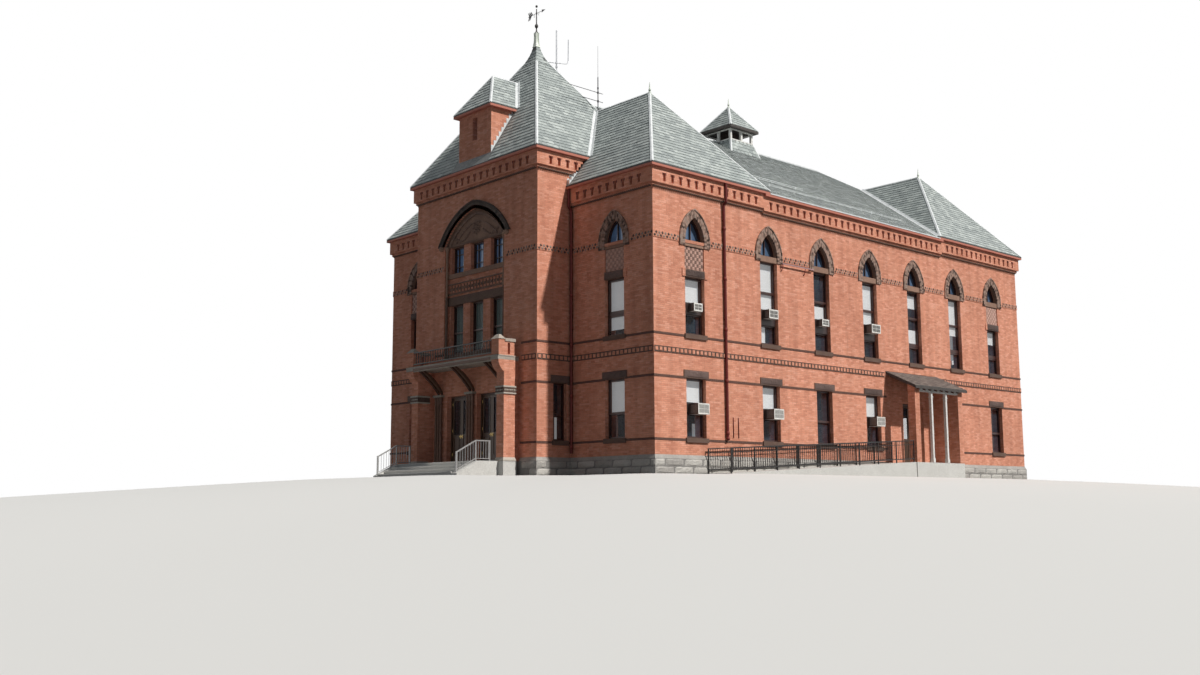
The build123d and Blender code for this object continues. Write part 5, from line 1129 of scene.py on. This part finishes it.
# Weather vane: a wrought arrow on a sleeve that turns on the spire's axle, with a barbed point, a
# feather of five blades and two scrolls, painted black.
def plate(outline, half):
    """A flat blade across Y: an outline of x and z round its middle, drawn to a near and a far side."""
    x, z = np.asarray(outline, float).T
    count = len(x)
    near, far = (xyz(x, tower_y + y, z) for y in (-half, half))
    n, after, none = np.arange(count), (np.arange(count) + 1) % count, np.full(count, -1)
    faces = np.concatenate([np.stack([none + 1 + 2 * count, n, after, none], -1),
                            np.stack([none + 2 + 2 * count, after + count, n + count, none], -1),
                            np.stack([n, n + count, after + count, after], -1)])
    points = np.concatenate([near, far, [near.mean(0), far.mean(0)]])
    return points, faces, np.full(len(faces), 0.5)


arm_z = 18.875
blades = []
for x, side in ((-0.47, 1), (-0.47, -1), (-0.385, 1), (-0.385, -1), (-0.3, 1)):
    outline = [(x, arm_z - 0.006), (x + 0.075, arm_z - 0.006), (x - 0.02, arm_z + side * 0.15),
               (x - 0.08, arm_z + side * 0.18)]
    blades.append(plate(outline[::side], 0.005))
point = plate([(0.36, arm_z), (0.33, arm_z - 0.06), (0.56, arm_z), (0.33, arm_z + 0.06)], 0.006)
spin = np.linspace(0, 3.4, 26)
curl = 1 - spin / 5
scrolls = [round_bar(xyz(side * (0.17 + 0.075 * curl * np.cos(spin + 1.6)), tower_y,
                         arm_z - 0.065 - 0.06 * curl * np.sin(spin + 1.6)), 0.006, 6) for side in (-1, 1)]
shaft = round_bar([(-0.54, tower_y, arm_z), (0.38, tower_y, arm_z)], 0.0095)
hub = turned(0, tower_y, [(18.6803, 0.021), (18.7, 0.026), (18.72, 0.021), (18.83, 0.021), (18.85, 0.034),
                          (18.9, 0.034), (18.92, 0.021), (19.05, 0.021), (19.068, 0.018)])
vane = piece("vane_arrow", joined(*blades, point, *scrolls, shaft, hub), iron, "vane")
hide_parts("weather_vane")

# Finials: spun lead spikes, flared at the foot to shed rain over the roofs' points.
spike = np.array([(-0.11, 0.115), (-0.1, 0.115), (-0.04, 0.07), (0.02, 0.042), (0.06, 0.034), (0.075, 0.046),
                  (0.1, 0.05), (0.125, 0.044), (0.14, 0.03), (0.26, 0.02), (0.4, 0.008), (0.42, 0.003)])
spikes = [turned(side * x, y, spike + (z, 0), 12) for x, y, z in (front_end, back_end) for side in (1, -1)]
spikes.append(turned(0, vent_y, spike + (17.54, 0), 12))
finials = piece("spike_finials", joined(*spikes), lead, smooth=True)
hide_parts("roof_finials")

# Ventilator: an open lantern on slated skirts. Thin white rails tie its posts at head and sill, and
# a core and slatted boards, painted near black as shade, close it inside.
level, across = np.repeat([skirt_top, 16.135], 2), np.tile([-0.785, 0.725], 2)
rails = joined(like_boxes(-0.79, vent_y + across, level, (1.58, 0.06, 0.045), 0.5),
               like_boxes(across, vent_y - 0.725, level, (0.06, 1.45, 0.045), 0.5))
piece("lantern_rails", rails, white_paint)
core = boxes((-0.3, vent_y - 0.3, skirt_top), (0.3, vent_y + 0.3, 16.18), 0.5)
slats = like_boxes(-0.34, 14.37, np.arange(15.74, 16.12, 0.075), (0.68, 0.68, 0.02), 0.5)
piece("lantern_core", joined(core, slats), painted_shade_headers)

# Eave edges: a thin bright drip strip along each of the hall's two eaves, between the front and back blocks.
drips = like_boxes([-8.327, 8.303], 7.55, 10.435, (0.024, 11.47, 0.04), 0.5)
piece("hall_drip_edges", drips, flashing)

# Snow guards: pairs of pipes carried clear of the hall's slates on cast brackets, on each slope a long
# run low down and a shorter one higher up.
guards = []
for side in (-1, 1):
    for start, end, x in ((8.9, 18.0, 7.07), (8.6, 12.2, 6.2)):
        z = hall_eave + (eave_x - x) * hall_slope
        for lift in (0.05, 0.1):
            guards.append(round_bar([(side * x, start, z + lift), (side * x, end, z + lift)], 0.011, 6))
        post_y = np.arange(start + 0.1, end, 0.75)
        guards.append(like_boxes(side * x - 0.012, post_y - 0.01, z - 0.01, (0.024, 0.02, 0.13), 0.5))
piece("snow_guards", joined(*guards), flashing)

# Rainwater pipes: cast iron, painted the sashes' dark red, with a socket at every length. Thin
# conduits and a rail on two brackets are fixed to the right wall beside them.
pipe_paint = shaded_finish("dark_red_pipe_paint", [(0.0, (0.12, 0.014, 0.012)), (1.0, (0.24, 0.04, 0.032))],
                           0.5, 9.0, 0.002)
dress(pipe_paint, "rainwater_pipes")
socket = np.array([(0, 0.052), (0.01, 0.066), (0.09, 0.066), (0.1, 0.06), (0.13, 0.052)])
sockets = [turned(side * x, y, socket + (z, 0), 12) for x, y, foot in ((8.135, 5.12, 1.4), (3.92, 1.51, 0.95))
           for side in (1, -1) for z in np.arange(foot, 9.0, 1.83)]
shoe = round_bar([(8.135, 5.12, 1.32), (8.135, 5.12, 1.3), (8.16, 5.12, 1.22)], (0.055, 0.062, 0.06), 10)
conduits = [round_bar([(8.08, y, 1.31), (8.08, y, 2.0), (8.05, y, 2.04)], 0.014, 6) for y in (5.49, 5.76)]
brackets = [round_bar([(8.05, y, 7.65), (8.1, y, 7.68), (8.17, y, 7.9)], 0.018, 6) for y in (8.35, 9.69)]
piece("pipe_sockets", joined(*sockets, shoe, *conduits, *brackets), pipe_paint, smooth=True)
faded = shaded_finish("faded_rail_paint", [(0.0, (0.3, 0.16, 0.17)), (1.0, (0.56, 0.38, 0.38))],
                      0.6, 9.0, 0.002)
piece("bracket_rail", boxes((8.15, 8.31, 7.91), (8.185, 10.19, 7.95), 0.5), faded)

# Air conditioners: white enamelled cases pushed out through the sashes, each with a slatted grille in
# a bezel. Dark boards close the sash round them.
enamel = new_material("white_enamel", 0.4)
enamel_at = place_coords(enamel)
out_of_wall = calc(enamel, "GREATER_THAN", axes(enamel, enamel_at)[0], 7.952)
dusty = ramp(enamel, noise(enamel, enamel_at, 7, 5), (0.3, (0.62, 0.6, 0.56)), (0.6, (0.84, 0.83, 0.8)))
# Both flanks of each case are painted near black as shade.
painted_shade_flank = calc(enamel, "GREATER_THAN", calc(enamel, "ABSOLUTE", facing(enamel)[1]), 0.6)
cased = blend(enamel, out_of_wall, (0.035, 0.02, 0.018, 1), dusty)
finish(enamel, Base_Color=blend(enamel, painted_shade_flank, cased, (0.07, 0.06, 0.055, 1)))
dress(enamel, "air_conditioners")
# Each unit's width, height, reach from the sash, foot and place along the wall
units = [(0.43, 0.28, 0.29, 5.62, end_bay), (0.52, 0.33, 0.34, 5.76, bays[0]),
         (0.43, 0.26, 0.29, 5.79, bays[1]), (0.6, 0.35, 0.4, 5.8, bays[2])]
units += [(0.56, 0.37, 0.48, 2.04, y) for y in (end_bay, bays[0], bays[2])]
bezels, grilles, rim = [], [], 0.045
for width, height, reach, foot, y in units:
    face, half, middle = 0.15 - reach, width / 2, foot + height / 2
    right_x, low_z, high_z = half - rim, foot + rim, foot + height - rim
    place, slat_shade, back_shade = (wing_half, y, 90), 0.2 if foot > 4 else 0.6, 0.05 if foot > 4 else 0.3
    rim_bars = picture_frame(-right_x, right_x, low_z, high_z, rim + 0.004, face - 0.016, face + 0.004)
    cross = boxes([(-0.009, face - 0.014, low_z), (-right_x, face - 0.014, middle - 0.009)],
                  [(0.009, face + 0.002, high_z), (right_x, face + 0.002, middle + 0.009)])
    bezels.append(on_walls(joined(rim_bars, cross), place))
    slat_z, slot_y = np.arange(low_z + 0.008, high_z - 0.006, 0.022), np.arange(0.03, reach - 0.16, 0.024)
    slot_z, slot_size = foot + height * 0.12, (0.004, 0.016, height * 0.76)
    grille = [like_boxes(-right_x, face - 0.011, slat_z, (width - 2 * rim, 0.008, 0.009), slat_shade),
              boxes((-right_x, face - 0.004, low_z), (right_x, face + 0.002, high_z), back_shade)]
    grille += [like_boxes(side * half - 0.002, face + slot_y, slot_z, slot_size, 0.05) for side in (-1, 1)]
    grilles.append(on_walls(joined(*grille), place))
rounded(piece("unit_bezels", joined(*bezels), enamel), "rounded", 0.004)
grille_paint = shaded_finish("grey_grilles", [
    (0.0, (0.09, 0.09, 0.09)), (0.45, (0.5, 0.49, 0.47)), (0.9, (0.8, 0.79, 0.76))], 0.6, 20.0, 0.001)
piece("unit_grilles", joined(*grilles), grille_paint)

# Aerials: two masts of aluminium tube on the front block's ridge, one with an arm that turns up beside
# it, one blackened, with a thin whip and two booms. Cleats hold the joints.
aluminium = new_material("dull_aluminium", 0.35, Metallic=0.9)
metal_at = place_coords(aluminium)
far_mast = calc(aluminium, "GREATER_THAN", axes(aluminium, metal_at)[0], 1.0)
tube = ramp(aluminium, noise(aluminium, metal_at, 12, 4), (0.3, (0.3, 0.31, 0.33)), (0.7, (0.5, 0.51, 0.53)))
finish(aluminium, Base_Color=blend(aluminium, far_mast, tube, (0.05, 0.05, 0.055, 1)))
near_x, far_x = -0.4, 2.17
arm_s = np.array([-0.36, 0.4, 0.45, 0.49, 0.5, 0.51])
arm = xyz(near_x + 0.439 * arm_s, front_y + 0.898 * arm_s, [17.236, 17.236, 17.25, 17.29, 17.36, 18.296])
near_mast = [(14.3, 0.024), (17.1, 0.024), (17.11, 0.03), (18.64, 0.03), (18.67, 0.015)]
whip_mast = [(14.3, 0.02), (15.9, 0.02), (15.93, 0.007), (17.21, 0.005)]
tubes = [turned(near_x, front_y, near_mast, 10), turned(far_x, front_y, whip_mast, 10), round_bar(arm, 0.02)]
tubes += [round_bar([(far_x, front_y - near, z), (far_x, front_y + 0.26, z)], 0.012)
          for z, near in ((15.267, 1.5), (14.911, 0.85))]
for x, z, out in ((near_x, 17.236, 0.045), (near_x, 17.06, 0.045), (far_x, 15.267, 0.036),
                  (far_x, 14.911, 0.036), (far_x, 15.45, 0.032)):
    cleat = [(z - 0.05, 0.6 * out), (z - 0.04, out), (z + 0.04, out), (z + 0.05, 0.6 * out)]
    tubes.append(turned(x, front_y, cleat, 10))
aerials = piece("roof_aerials", joined(*tubes), aluminium)
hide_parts("roof_masts")


# The light: one soft sun from the right and a little behind, as high as 45 degrees, which leaves the
# front in shade as it is at that time of day, and a plain dim sky. The camera looks up from the road.
def placed(name, data, columns, place):
    """A light or camera in the scene, from the ways of its three axes and its place."""
    made = bpy.data.objects.new(name, data)
    bpy.context.scene.collection.objects.link(made)
    made.matrix_world = Matrix(np.stack([*columns, place], 1).tolist() + [(0, 0, 0, 1)])
    return made


sun_data = bpy.data.lights.new("sun", "SUN")
sun_data.energy, sun_data.angle, sun_data.color = 3.7, 0.03, (1.0, 0.97, 0.92)
to_sun = np.array([0.684, 0.181, 0.707])
east = np.cross((0, 0, 1), to_sun)
east /= np.linalg.norm(east)
placed("sun", sun_data, (east, np.cross(to_sun, east), to_sun), (0, 0, 0))
# The camera, glass and gloss see a white sky, and all else is lit by a dim blue one
sky = bpy.data.worlds.new("sky")
bpy.context.scene.world = sky
sky.use_nodes = True
ray = add(sky, "LightPath").outputs
seen = calc(sky, "MAXIMUM", ray["Is Camera Ray"], ray["Is Transmission Ray"])
seen = calc(sky, "MAXIMUM", seen, ray["Is Glossy Ray"])
dim = sky.node_tree.nodes["Background"]
dim.inputs[0].default_value, dim.inputs[1].default_value = (0.8, 0.89, 1.0, 1), 0.14
backdrop = add(sky, "Background", {0: (1, 1, 1, 1)}).outputs[0]
mixed = add(sky, "MixShader", {0: seen, 1: dim.outputs[0], 2: backdrop})
sky.node_tree.links.new(mixed.outputs[0], sky.node_tree.nodes["World Output"].inputs[0])
camera_data = bpy.data.cameras.new("camera")
camera_data.lens, camera_data.sensor_width, camera_data.clip_end = 35.88, 36, 1000
yaw, pitch, roll = np.radians([47.782, 7.865, -0.21])
ahead = np.array([-np.sin(yaw) * np.cos(pitch), np.cos(yaw) * np.cos(pitch), np.sin(pitch)])
level_right = np.array([np.cos(yaw), np.sin(yaw), 0])
level_up = np.cross(level_right, ahead)
camera_right = level_right * np.cos(roll) + level_up * np.sin(roll)
camera_up = level_up * np.cos(roll) - level_right * np.sin(roll)
camera_ways = (camera_right, camera_up, -ahead)
bpy.context.scene.camera = placed("camera", camera_data, camera_ways, (36.222, -26.399, -0.939))
bpy.context.scene.view_settings.view_transform = "Standard"
